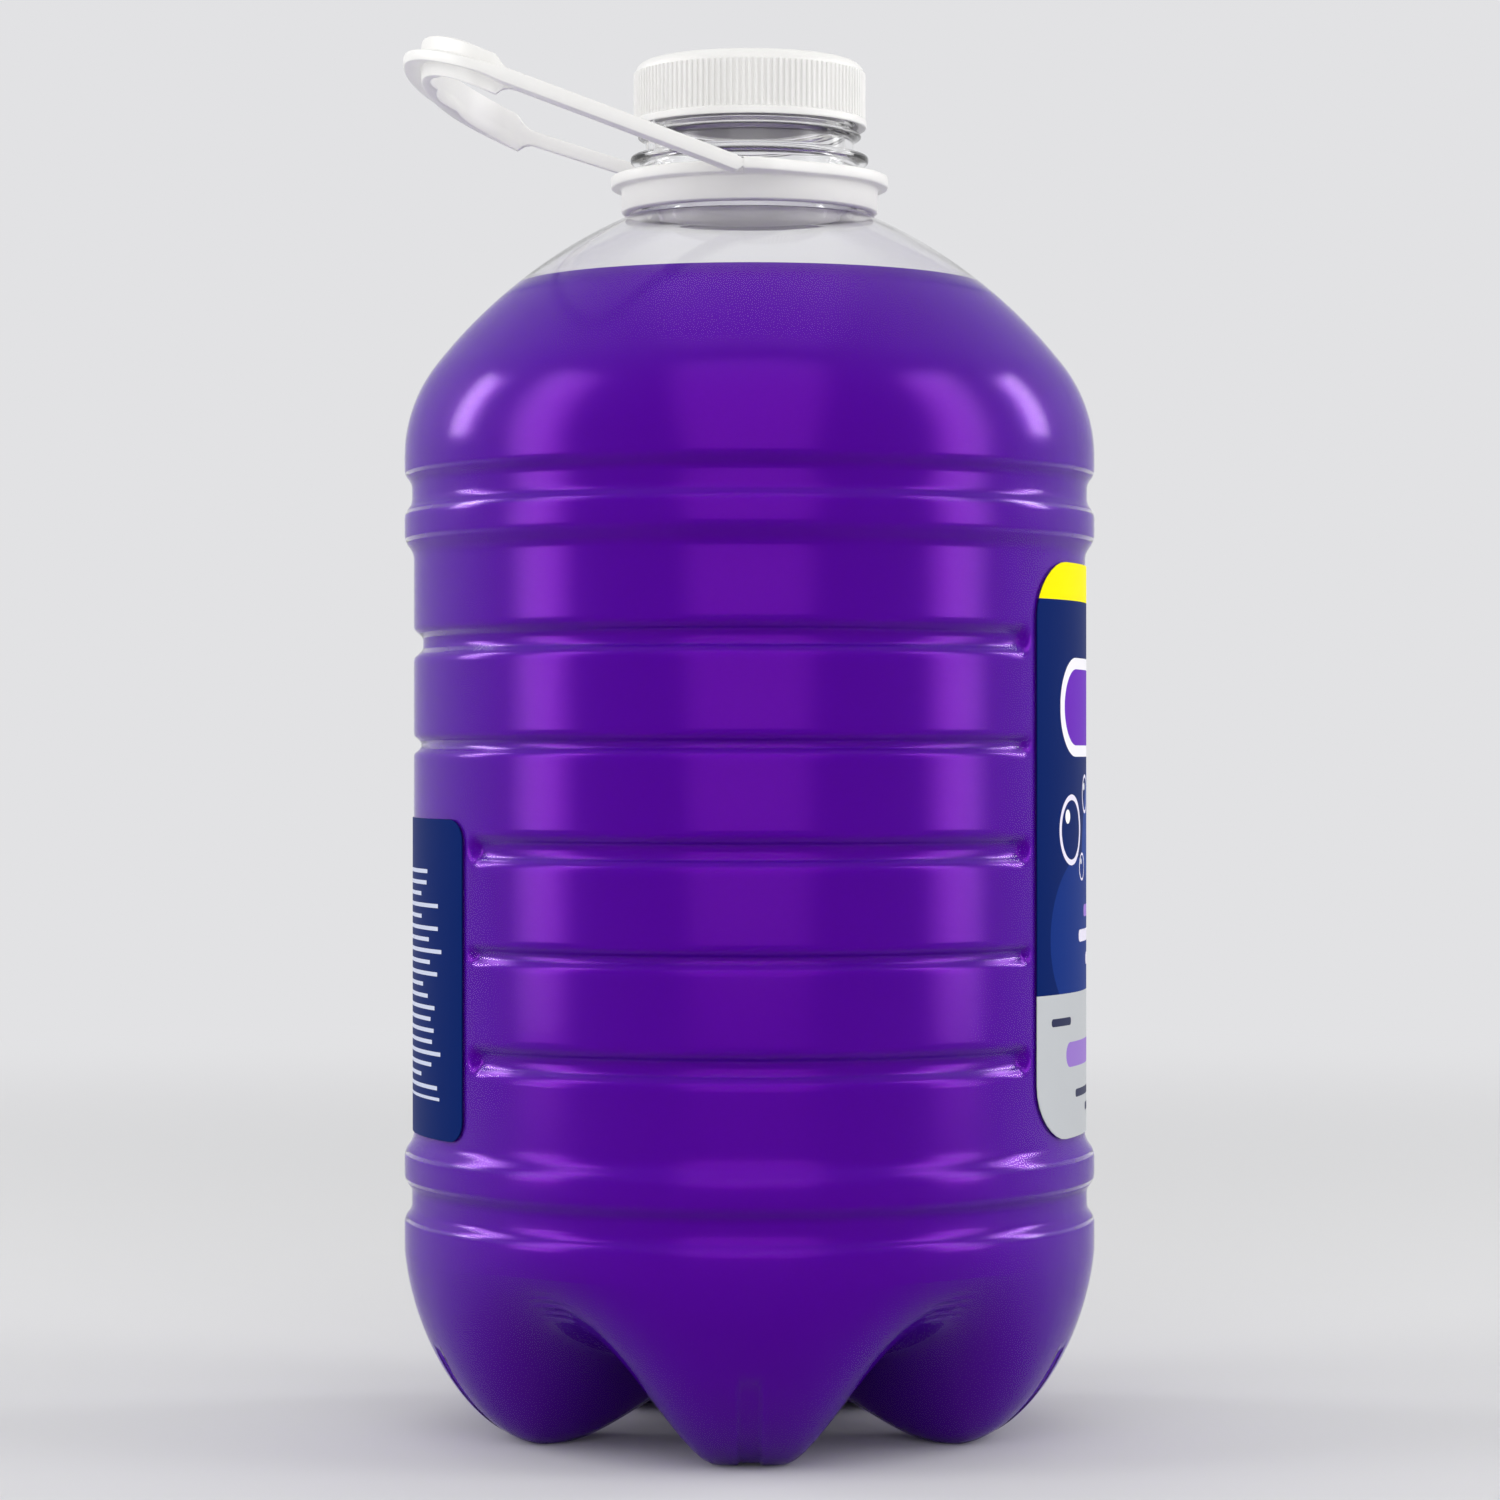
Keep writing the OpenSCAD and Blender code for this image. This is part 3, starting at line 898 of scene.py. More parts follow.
    def neck_line(self) -> list[Point]:
        """Returns the outside of the neck, from the shoulder to the rim."""
        sup, bead, rim = self.support_z, self.bead_z, self.rim_z
        out, fin, thr = self.neck_r + self.support_out, self.finish_r, self.thread_r
        bead_r = fin + self.bead_out
        line = [
            (self.neck_r, self.dome_z(self.neck_r) + 0.6),
            (self.neck_r, sup),
            (out, sup),
            (out, sup + self.support_t),
            (fin, sup + self.support_t),
            (fin, bead),
            (bead_r, bead + 0.5),
            (bead_r, bead + self.bead_h - 1.2),
            (fin + 0.3, bead + self.bead_h),
            (thr, bead + self.bead_h),
            (thr, rim),
            (thr - 1.2, rim),
        ]
        return round_corners(line, 0.45, 3)

    def off_foot(self, turn: np.ndarray) -> np.ndarray:
        """Returns each angle's distance from the middle of the nearest foot, in radians."""
        step = 2 * math.pi / self.feet
        return np.abs((turn - math.radians(self.foot_dir) + step / 2) % step - step / 2)

    def foot_share(self, turn: np.ndarray) -> np.ndarray:
        """Returns 1 at the middle of a foot and 0 in a valley, for each angle in radians."""
        return 1.0 - ease((self.off_foot(turn) / (math.pi / self.feet) - 0.2) / 0.75)

    def petal(self, turn: np.ndarray, s: float, inset: float) -> np.ndarray:
        """Returns radius and height of the petal base for each angle.

        Args:
            turn: The angles, in radians.
            s: From 0 at the wall to 1 at the centre.
            inset: How far inside the outer surface.
        """
        flat, split = -self.foot_flat, self.foot_split
        outer = [
            (self.body_r, self.base_h),
            (self.body_r - 1.5, self.base_h / 2),
            (self.foot_r + 13, flat),
            (self.foot_r, flat),
        ]
        inner = [(self.foot_r, flat), (self.foot_r - 15, flat), (14.0, self.dome_h), (0.0, self.dome_h)]
        valley = [
            (self.body_r, self.base_h),
            (self.body_r - 5, self.base_h - 10.5),
            (self.foot_r + 3, self.dome_h),
            (0.0, self.dome_h),
        ]

        def at(t: float) -> np.ndarray:
            """Returns the blended meridian at t."""
            foot = bezier(outer, t / split) if t < split else bezier(inner, (t - split) / (1 - split))
            w = self.foot_share(turn)[:, None]
            return w * foot + (1 - w) * bezier(valley, t)

        here = at(s)
        ahead = at(s + 0.01) - at(max(s - 0.01, 0.0))
        normal = np.column_stack([ahead[:, 1], -ahead[:, 0]])
        normal /= np.linalg.norm(normal, axis=1)[:, None]
        return here + (inset + self.base_dent(turn, here))[:, None] * normal

    def base_dent(self, turn: np.ndarray, here: np.ndarray) -> np.ndarray:
        """Returns how deep the slots of the feet and the steps of the valleys are.

        Args:
            turn: The angles, in radians.
            here: Radius and height at each angle.
        """
        off = self.off_foot(turn)
        r, z = here[:, 0], here[:, 1]
        aside = off * r
        height = ease((self.slot_top - z) / 2.0) * ease((r - self.foot_r + 6.0) / 3.0)
        slot = self.slot_depth * height * (1.0 - ease((aside - self.slot_w / 2 + 0.5) / 0.9))
        to_valley = (math.pi / self.feet - off) * r
        wave = (z - self.step_foot) / self.step_pitch
        inside = ease((z - self.step_foot) / 1.0) * ease((self.step_top - z) / 1.0) * (r > self.foot_r)
        width = 1.0 - ease((to_valley - 4.2 + 0.8 * np.floor(wave)) / 1.6)
        steps = self.step_depth * inside * width * (1.0 - wave % 1.0)
        return slot + steps

    def base_rings(self, turn: np.ndarray, rows: int, inset: float) -> list[Ring]:
        """Returns the rings of the petal base, from its centre out to the wall.

        Args:
            turn: The angles of a ring's points.
            rows: How many rings.
            inset: How far inside the outer surface.
        """
        gate = self.dome_h + inset
        rings = lathe([(self.gate_r * 0.5, gate), (self.gate_r, gate)], turn)
        for j in range(rows - 1, 0, -1):
            rz = self.petal(turn, j / rows * 0.94, inset)
            soft = 0.5 * (rz[:, 1] + np.sqrt(rz[:, 1] ** 2 + 0.16)) - 0.06
            rings.append(ring_at(rz[:, 0], np.maximum(soft, 0.0), turn))
        return rings

    def turns(self, columns: int) -> np.ndarray:
        """Returns the angles of a ring's points, closer at the slots and the rib ends.

        Args:
            columns: How many points there are.
        """
        fine = np.linspace(0, 2 * math.pi, 7200, endpoint=False)
        slots = 5.5 * (1.0 - ease((self.off_foot(fine) - 0.045) / 0.03))
        off_front = np.abs(np.angle(np.exp(1j * fine)))
        off_label = np.minimum(off_front, math.pi - off_front) - math.radians(self.label_angle + 2.0)
        ends = 2.0 * (1.0 - ease((np.abs(off_label) - 0.07) / 0.04))
        share = np.cumsum(1.0 + np.maximum(slots, ends))
        wanted = (np.arange(columns) + 0.5) / columns * share[-1]
        return np.interp(wanted, share, fine)

    def dented(self, line: list[Point], turn: np.ndarray) -> list[Ring]:
        """Turns a wall outline into rings with the ribs pressed in."""
        return [ring_at(r - self.rib_dent(turn, z), z, turn) for r, z in line]

    def with_rib_rows(self, line: list[Point], step: float) -> list[Point]:
        """Adds rows where the ribs are, so that the mesh can follow them.

        Args:
            line: The wall's outline.
            step: The distance between the rows.
        """
        heights = [
            rib_z + dz
            for rib_z, (_, height, _) in self.ribs()
            for dz in np.linspace(-height / 2 - 1.2, height / 2 + 1.2, round((height + 2.4) / step) + 1)
        ]
        r = [p[0] for p in line if abs(p[1] - self.panel_z - self.panel_h / 2) < self.panel_h / 2 + 0.01]
        return sorted(line + [(min(r), z) for z in heights], key=lambda p: p[1])


@dataclass
class Bottle:
    """The clear shell with its neck, and the liquid in it."""

    pet: Material
    cleaner: Material
    form: BottleForm = field(default_factory=BottleForm)
    columns: int = 300
    thread_wire: float = 1.1
    thread_pitch: float = 6.0
    thread_turns: float = 1.35

    def shell(self) -> None:
        """Builds the shell, outside and inside, as one closed skin."""
        f = self.form
        turn = f.turns(self.columns)
        rings = f.base_rings(turn, 84, 0.0)
        rings += f.dented(f.with_rib_rows(f.wall_line(0.0, 1.3), 0.75), turn)
        rings += lathe(f.shoulder_line(0.0, f.neck_r) + f.neck_line(), turn)
        throat = f.neck_r - 0.8 * f.neck_wall
        neck_in = [
            (f.bore_r + 0.5, f.rim_z),
            (f.bore_r, f.rim_z - 0.6),
            (f.bore_r, f.dome_z(f.neck_r) + 2.6),
            (f.bore_r + 0.3, f.dome_z(f.neck_r) + 1.7),
        ]
        rings += lathe(neck_in, turn)
        rings += lathe(f.shoulder_line(f.wall, throat)[::-2], turn)
        rings += f.dented(f.with_rib_rows(f.wall_line(f.wall, 0.0), 2.0)[::-1], turn)
        rings += f.base_rings(turn, 16, f.wall)[::-1]
        verts, faces = skin(rings, True, True)
        piece = new_piece("bottle_shell", verts * MM, faces, self.pet, 60.0)
        seat(piece, Body.BOTTLE, Slot.PET, "bottle_base", "bottle_body", "bottle_neck", "neck_finish")

    def liquid(self) -> None:
        """Builds the liquid up to its level, with a meniscus at the wall."""
        f = self.form
        inset = f.wall - 0.1
        turn = f.turns(self.columns)
        rings = f.base_rings(turn, 70, inset)
        rings += f.dented(f.with_rib_rows(f.wall_line(inset, 1.3), 0.9), turn)
        line = [p for p in f.shoulder_line(inset, f.bore_r + 3) if p[1] < f.fill_z]
        c = f.dome_c
        edge = c[0] + math.sqrt((f.dome_r - inset) ** 2 - (f.fill_z + 0.9 - c[1]) ** 2)
        line += [
            (edge, f.fill_z + 0.9),
            (edge - 0.5, f.fill_z + 0.4),
            (edge - 1.3, f.fill_z + 0.1),
            (edge - 2.6, f.fill_z),
            (edge * 0.5, f.fill_z),
        ]
        rings += lathe(line, turn)
        verts, faces = skin(rings, True, True)
        piece = new_piece("cleaner", verts * MM, faces, self.cleaner, 60.0)
        seat(piece, Body.BOTTLE, Slot.LIQUID, "cleaner_liquid")

    def threads(self) -> None:
        """Winds the neck's thread as a rounded ridge along a spiral."""
        f = self.form
        piece = new_piece("neck_thread", np.zeros((0, 3)), [], self.pet)
        foot = f.bead_z + f.bead_h + 1.9
        sizes = {
            "Radius": f.thread_r * MM,
            "Wire": self.thread_wire * MM,
            "Foot": foot * MM,
            "Turns": self.thread_turns,
            "Pitch": self.thread_pitch * MM,
        }
        bake_nodes(piece, thread_tree("Neck thread", sizes, self.pet), sizes)
        seat(piece, Body.BOTTLE, Slot.PET)

    def labels(self, nodes: dict[str, Piece], front: Material, back: Material) -> None:
        """Dresses the two label films, which keep their CAD shape.

        Args:
            nodes: The CAD nodes by name.
            front: The front label's print.
            back: The back label's print.
        """
        dress(nodes["front_label"], front)
        dress(nodes["back_label"], back)
        log.info("labels dressed")


def thread_tree(name: str, sizes: dict[str, float], material: Material) -> Tree:
    """Makes the tree of a thread: a round wire along a rising spiral, thin at both ends.

    Args:
        name: The tree's name.
        sizes: Its inputs: Radius, Wire, Foot, Turns and Pitch.
        material: The finish set on it.

    Returns:
        The tree.
    """
    tree, given = sized_tree(name, sizes)
    rise = put(tree, "ShaderNodeMath", {0: given.outputs["Turns"], 1: given.outputs["Pitch"]}, operation="MULTIPLY")
    coil = put(
        tree,
        "GeometryNodeCurveSpiral",
        {
            "Resolution": 90,
            "Rotations": given.outputs["Turns"],
            "Start Radius": given.outputs["Radius"],
            "End Radius": given.outputs["Radius"],
            "Height": rise,
        },
    )
    along = put(tree, "GeometryNodeSplineParameter")
    fade = put(tree, "ShaderNodeMath", {0: along.outputs["Factor"], 1: 0.5}, operation="SUBTRACT")
    away = put(tree, "ShaderNodeMath", {0: fade}, operation="ABSOLUTE")
    width = put(
        tree,
        "ShaderNodeMapRange",
        {"Value": away, "From Min": 0.46, "From Max": 0.5, "To Min": 1.0, "To Max": 0.3},
    )
    thin = put(tree, "GeometryNodeSetCurveRadius", {"Curve": coil, "Radius": width})
    wire = put(tree, "GeometryNodeCurvePrimitiveCircle", {"Resolution": 10, "Radius": given.outputs["Wire"]})
    ridge = put(tree, "GeometryNodeCurveToMesh", {"Curve": thin, "Profile Curve": wire, "Fill Caps": True})
    lift = put(tree, "ShaderNodeCombineXYZ", {"Z": given.outputs["Foot"]})
    placed = put(tree, "GeometryNodeTransform", {"Geometry": ridge, "Translation": lift})
    smooth = put(tree, "GeometryNodeSetShadeSmooth", {"Geometry": placed})
    real = put(tree, "GeometryNodeRealizeInstances", {0: smooth})
    coated = put(tree, "GeometryNodeSetMaterial", {"Geometry": real, "Material": material})
    put(tree, "NodeGroupOutput", {0: coated})
    return tree


@dataclass
class ScrewCap:
    """The fluted cap, with its liner left as the CAD has it."""

    form: BottleForm
    plastic: Material
    crest_r: float = 25.3
    thread_gap: float = 1.4
    top_t: float = 1.8
    edge_r: float = 2.5
    lip_h: float = 1.6
    lip_out: float = 0.2
    flutes: int = 120
    flute_depth: float = 0.4
    gap: float = 0.3
    liner_t: float = 1.2

    def shell_line(self) -> list[Point]:
        """Returns the cap's outline, outside from the lip to the top and back down inside."""
        f = self.form
        z = f.bead_z + f.bead_h + self.gap
        inner = f.thread_r + self.thread_gap
        top = f.rim_z + self.liner_t + self.top_t
        root = self.crest_r - self.flute_depth
        lip = self.crest_r + self.lip_out
        outside = [(inner, z), (lip, z), (lip, z + self.lip_h), (root, z + self.lip_h + 0.2), (root, z + 3.0)]
        outside = round_corners(outside, 0.35, 3)
        outside += arc((root - self.edge_r, top - self.edge_r), self.edge_r, 0, 90, 8)
        outside += [(root - self.edge_r - 4.0, top)]
        inside = [(2.0, top - self.top_t), (inner - 0.4, top - self.top_t), (inner, top - self.top_t - 0.4)]
        return outside[1:] + [(2.0, top)], inside + [(inner, z + 0.4)]

    def build(self) -> None:
        """Builds the cap with its flutes."""
        f = self.form
        outside, inside = self.shell_line()
        columns = 180
        turn = even_turn(columns)
        rings_out = lathe(outside, turn)
        rings_in = lathe(inside, turn)
        a, fa = skin(rings_out, False, True)
        b, fb = skin(rings_in, False, False)
        inner_pole = len(b)
        b = np.vstack([b, [0.0, 0.0, inside[0][1]]])
        fb += [(inner_pole, (i + 1) % columns, i) for i in range(columns)]
        faces = list(fa) + [tuple(i + len(a) for i in face) for face in fb]
        last = len(a) + (len(inside) - 1) * columns
        faces += [(last + i, last + (i + 1) % columns, (i + 1) % columns, i) for i in range(columns)]
        piece = new_piece("cap", np.vstack([a, b]) * MM, faces, self.plastic, 35.0)
        top = f.rim_z + self.liner_t + self.top_t
        z = f.bead_z + f.bead_h + self.gap
        sizes = {
            "Flutes": self.flutes,
            "Root radius": (self.crest_r - self.flute_depth) * MM,
            "Foot": (z + self.lip_h - 0.2) * MM,
            "Flute height": (top - self.edge_r + 0.3 - z - self.lip_h) * MM,
            "Flute width": 0.78 * MM,
            "Flute depth": self.flute_depth * MM,
        }
        bake_nodes(piece, self.flute_tree(sizes), sizes)
        seat(piece, Body.CAP, Slot.POLYPROPYLENE, "screw_cap")

    def flute_tree(self, sizes: dict[str, float | int]) -> Tree:
        """Makes the tree that sets the flutes round the cap.

        Args:
            sizes: The tree's inputs.

        Returns:
            The tree.
        """
        tree, given = sized_tree("Cap flutes", sizes)
        out = given.outputs
        circle = put(tree, "GeometryNodeMeshCircle", {"Vertices": out["Flutes"], "Radius": out["Root radius"]})
        head = put(tree, "ShaderNodeMath", {0: out["Foot"], 1: out["Flute height"]}, operation="ADD")
        low = put(tree, "ShaderNodeCombineXYZ", {"Z": out["Foot"]})
        high = put(tree, "ShaderNodeCombineXYZ", {"Z": head})
        line = put(tree, "GeometryNodeCurvePrimitiveLine", {"Start": low, "End": high})
        split = put(tree, "GeometryNodeResampleCurve", {"Curve": line, "Count": 9})
        along = put(tree, "GeometryNodeSplineParameter")
        taper = put(
            tree,
            "ShaderNodeMapRange",
            {"Value": along.outputs["Factor"], "From Min": 0.86, "From Max": 1.0, "To Min": 1.0, "To Max": 0.25},
            interpolation_type="SMOOTHSTEP",
        )
        thin = put(tree, "GeometryNodeSetCurveRadius", {"Curve": split, "Radius": taper})
        wire = put(tree, "GeometryNodeCurvePrimitiveCircle", {"Resolution": 8, "Radius": 1.0})
        half = put(tree, "ShaderNodeMath", {0: out["Flute width"], 1: 0.5}, operation="MULTIPLY")
        girth = put(tree, "ShaderNodeCombineXYZ", {"X": half, "Y": half, "Z": 1.0})
        section = put(tree, "GeometryNodeTransform", {"Geometry": wire, "Scale": girth})
        bar = put(tree, "GeometryNodeCurveToMesh", {"Curve": thin, "Profile Curve": section, "Fill Caps": True})
        number = put(tree, "GeometryNodeInputIndex")
        pitch = put(tree, "ShaderNodeMath", {0: 2 * math.pi, 1: out["Flutes"]}, operation="DIVIDE")
        angle = put(tree, "ShaderNodeMath", {0: number, 1: pitch}, operation="MULTIPLY")
        spin = put(tree, "ShaderNodeCombineXYZ", {"Z": angle})
        flutes = put(tree, "GeometryNodeInstanceOnPoints", {"Points": circle, "Instance": bar, "Rotation": spin})
        smooth = put(tree, "GeometryNodeSetShadeSmooth", {"Geometry": flutes})
        both = put(tree, "GeometryNodeJoinGeometry", {0: smooth})
        tree.links.new(out["Geometry"], both.inputs[0])
        real = put(tree, "GeometryNodeRealizeInstances", {0: both})
        coated = put(tree, "GeometryNodeSetMaterial", {"Geometry": real, "Material": self.plastic})
        put(tree, "NodeGroupOutput", {0: coated})
        return tree

    def thread(self) -> None:
        """Winds the cap's inner thread between the turns of the neck's."""
        f = self.form
        piece = new_piece("cap_thread", np.zeros((0, 3)), [], self.plastic)
        sizes = {
            "Radius": (f.thread_r + self.thread_gap + 0.1) * MM,
            "Wire": 0.95 * MM,
            "Foot": (f.bead_z + f.bead_h + 1.9 + 3.0) * MM,
            "Turns": 1.0,
            "Pitch": 6.0 * MM,
        }
        bake_nodes(piece, thread_tree("Cap thread", sizes, self.plastic), sizes)
        seat(piece, Body.CAP, Slot.POLYPROPYLENE)


@dataclass
class CarryHandle:
    """The collar under the support ring and the strap that swings on it."""

    form: BottleForm
    plastic: Material
    collar_gap: float = 0.4
    flange_w: float = 6.3
    flange_t: float = 2.6
    skirt_h: float = 5.2
    skirt_in: float = 2.3
    skirt_wall: float = 1.6
    seat_gap: float = 0.3
    hinge_back: float = 3.2
    hinge_gap: float = 0.3
    arm_gap: float = 0.7
    arm_w: float = 4.8
    arm_t: float = 3.3
    arm_rise: float = 19.2
    grip_r: float = 55.7
    grip_angle: float = 51.0
    grip_reach: float = 67.85
    grip_h: float = 8.4
    grip_t: float = 2.0
    brim_w: float = 3.9
    brim_t: float = 2.3
    grip_slope: float = 0.38
    wall_start: float = 1.2
    wall_run: float = 3.2
    grip_corner: tuple[Point, Point] = ((-13.0, 2.4), (0.0, 31.0))
    finger_w: float = 26.0
    finger_cusp: float = 1.2
    web_end: float = 0.3

    @property
    def flange_r(self) -> float:
        """Outer radius of the flange."""
        return self.form.neck_r + self.collar_gap + self.flange_w

    @property
    def skirt_r(self) -> float:
        """Outer radius of the skirt."""
        return self.flange_r - self.skirt_in

    @property
    def skirt_z(self) -> float:
        """Lower edge of the skirt, outside."""
        f, inner = self.form, self.skirt_r - self.skirt_wall
        return f.dome_z(self.skirt_r) + self.seat_gap + 1.7 * (f.dome_z(inner) - f.dome_z(self.skirt_r))

    @property
    def hinge(self) -> Point:
        """Where the hinge line crosses the X and Z axes."""
        return (-self.hinge_back, self.skirt_z + self.skirt_h + self.flange_t / 2)

    @property
    def root_y(self) -> float:
        """Distance of an arm's middle from the XZ plane, at the hinge."""
        return self.flange_r + self.arm_gap + self.arm_w / 2

    def lug_reach(self, turn: np.ndarray) -> np.ndarray:
        """Returns the flange's outer radius with the two lugs.

        Args:
            turn: The angles, in radians.
        """
        end_x = self.hinge[0] + self.arm_t / 2 + self.hinge_gap
        outer_y = self.root_y + self.arm_w / 2
        corners = [
            (end_x, self.flange_r * 0.9),
            (end_x, outer_y),
            (end_x + self.arm_w * 0.6, outer_y - 0.6),
            (end_x + self.arm_w * 1.3, outer_y - 2.3),
            (self.flange_r * 0.5, self.flange_r * math.cos(math.radians(30))),
        ]
        reach = np.full(len(turn), self.flange_r)
        for k, a in enumerate(turn):
            x, y = math.cos(a), abs(math.sin(a))
            for (ax, ay), (bx, by) in zip(corners, corners[1:]):
                cross = x * (by - ay) - y * (bx - ax)
                if abs(cross) < 1e-9:
                    continue
                far = (ax * (by - ay) - ay * (bx - ax)) / cross
                on = (far * x - ax) * (bx - ax) + (far * y - ay) * (by - ay)
                if far > 0 and 0 <= on <= (bx - ax) ** 2 + (by - ay) ** 2:
                    reach[k] = max(reach[k], far)
        return reach

    def collar(self) -> None:
        """Builds the collar: a flange with two lugs over a skirt."""
        f = self.form
        even = np.linspace(0, 2 * math.pi, 180, endpoint=False)
        end_x = self.hinge[0] + self.arm_t / 2 + self.hinge_gap
        tips = [math.atan2(y, end_x) for y in (self.flange_r - 0.01, self.root_y + self.arm_w / 2 - 0.002)]
        extra = [s * t for t in tips for s in (-1, 1)]
        turn = np.unique(np.concatenate([even, np.mod(extra, 2 * math.pi)]))
        reach = self.lug_reach(turn)
        z = self.skirt_z + self.skirt_h
        top = z + self.flange_t
        bore = f.neck_r + self.collar_gap
        skirt_in = self.skirt_r - self.skirt_wall
        seat_z = f.dome_z(skirt_in) + self.seat_gap
        e = 0.45
        rows: list[tuple[object, float]] = [
            (bore, z + e), (bore + e, z), (skirt_in, z), (skirt_in, seat_z + 0.2), (skirt_in + 0.2, seat_z + 0.1),
            (self.skirt_r - 0.2, self.skirt_z), (self.skirt_r, self.skirt_z + 0.2), (self.skirt_r, z - 0.5),
            (self.skirt_r + 0.15, z - 0.13), (self.skirt_r + 0.5, z),
            (reach - e, z), (reach - 0.13, z + 0.13), (reach, z + e),
            (reach, top - e), (reach - 0.13, top - 0.13), (reach - e, top),
            (bore + e, top), (bore + 0.13, top - 0.13), (bore, top - e),
        ]
        rings = [
            np.column_stack([r * np.cos(turn), r * np.sin(turn), np.full(len(turn), height)])
            for r, height in rows + rows[:1]
        ]
        verts, faces = skin(rings, False, False)
        n = len(turn)
        last = (len(rows)) * n
        faces = [tuple(i - last if i >= last else i for i in face) for face in faces]
        piece = new_piece("handle_ring", verts[:last] * MM, faces, self.plastic, 50.0)
        seat(piece, Body.COLLAR, Slot.POLYPROPYLENE, "handle_collar")

    def stations(self) -> list[tuple[np.ndarray, float, float, float, float, float]]:
        """Returns the strap's path from one hinge to the other.

        Returns:
            For each station its point, then how far the section reaches inwards
            and outwards, the half height of its wall, the half height of its
            brim, and how far a cusp between two fingers stands in.
        """
        core_w = self.brim_w + self.grip_t * 0.8
        core_r = self.grip_r + self.brim_w - core_w / 2
        grip_x = self.hinge[0] - self.grip_reach + self.grip_r
        half = math.radians(self.grip_angle)
        end_z = self.hinge[1] + math.tan(math.radians(self.arm_rise)) * (
            self.hinge[0] - grip_x + core_r * math.cos(half)
        )
        centre_off = core_r - self.grip_r
        root = np.array([self.hinge[0], self.root_y])
        end = np.array([grip_x - core_r * math.cos(half), core_r * math.sin(half)])
        middle = np.array([grip_x - core_r, 0.0])
        plan = [tuple(root), tuple(root + (-16, 4.4)), tuple(end + (16, -3)), tuple(end)]
        near_end, near_middle = self.grip_corner
        curve = [tuple(end), tuple(end + near_end), tuple(middle + near_middle), tuple(middle)]
        half_path = []
        for i in range(33):
            p = bezier(plan, i / 32)
            z = self.hinge[1] + (end_z - self.hinge[1]) * (root[0] - p[0]) / (root[0] - end[0])
            w = self.arm_w / 2
            rise = float(np.clip((i - 32 + self.wall_start) / self.wall_run, 0, 1))
            wall = self.arm_t / 2 + 0.02 + (self.grip_h / 2 - self.arm_t / 2) * rise
            half_path.append((np.array([p[0], p[1], z]), -w, w, wall, self.arm_t / 2, 0.0))
        steps = 48
        for i in range(1, steps + 1):
            p = bezier(curve, i / steps)
            s = float(ease(i / 7.0))
            rise = float(np.clip((i + self.wall_start) / self.wall_run, 0, 1))
            point = np.array([p[0], p[1], end_z + self.grip_slope * (end[0] - p[0])])
            inner = -self.arm_w / 2 * (1 - s) - (self.grip_t + centre_off) * s
            outer = self.arm_w / 2 * (1 - s) + (core_w / 2) * s
            wall = self.arm_t / 2 + 0.02 + (self.grip_h / 2 - self.arm_t / 2) * rise
            brim = self.arm_t / 2 + (self.brim_t - self.arm_t) / 2 * s
            cusp = self.finger_cusp * (1 - abs(math.sin(math.pi * p[1] / self.finger_w))) * s * rise
            half_path.append((point, inner, outer, wall, brim, cusp))
        mirror = [(np.array([p[0], -p[1], p[2]]), *rest) for p, *rest in half_path[-2::-1]]
        return half_path + mirror

    def section(self, inner: float, outer: float, wall: float, brim: float, cusp: float, e: float) -> list[Point]:
        """Returns the strap's section: a wall with a brim on its outer side.

        Args:
            inner: The wall's inner face.
            outer: The brim's edge.
            wall: Half the wall's height.
            brim: Half the brim's height.
            cusp: How far a cusp between two fingers stands in, below the brim.
            e: How far the edges are eased.

        Returns:
            The section's points, across and up.
        """
        step = inner + self.grip_t
        low = inner - cusp
        c = min(e, 0.48 * (wall - brim) + 0.01)
        k = 0.3
        return [
            (low, -wall + e), (low + k * e, -wall + k * e), (low + e, -wall),
            (step - c, -wall), (step - k * c, -wall + k * c), (step, -wall + c),
            (step, -brim - c), (step + k * c, -brim - k * c), (step + c, -brim),
            (outer - e, -brim), (outer - k * e, -brim + k * e), (outer, -brim + e),
            (outer, brim - e), (outer - k * e, brim - k * e), (outer - e, brim),
            (step + c, brim), (step + k * c, brim + k * c), (step, brim + c),
            (step, wall - c), (step - k * c, wall - k * c), (step - c, wall),
            (inner + e, wall), (inner + k * e, wall - k * e), (inner, wall - e),
            (inner, -0.1 * wall), (inner - 0.15 * cusp, -0.22 * wall), (inner - 0.8 * cusp, -0.45 * wall),
        ]

    def strap(self) -> None:
        """Sweeps the strap from hinge to hinge, with thinned roots."""
        path = self.stations()
        rings = []
        for i, (p, inner, outer, wall, brim, cusp) in enumerate(path):
            before, after = path[max(i - 1, 0)][0], path[min(i + 1, len(path) - 1)][0]
            ahead = (after - before)[:2]
            ahead = ahead / np.linalg.norm(ahead)
            out = np.array([ahead[1], -ahead[0], 0.0])
            if np.dot(out[:2], p[:2] + np.array([20.0, 0.0])) < 0:
                out = -out
            pts = self.section(inner, outer, wall, brim, cusp, 0.4)
            rings.append(np.array([p + out * a + np.array([0, 0, b]) for a, b in pts]))
        first, final = rings[0], rings[-1]
        for edge, ring in ((0, first), (-1, final)):
            core = path[edge][0]
            taper = ring.copy()
            taper[:, 2] = core[2] + (ring[:, 2] - core[2]) * 0.45
            taper[:, 0] += 1.5
            if edge == 0:
                rings.insert(0, taper)
            else:
                rings.append(taper)
        verts, faces = skin(rings, True, True)
        piece = new_piece("handle_grip", verts * MM, faces, self.plastic, 38.0)
        seat(piece, Body.STRAP, Slot.POLYPROPYLENE, "handle_strap")

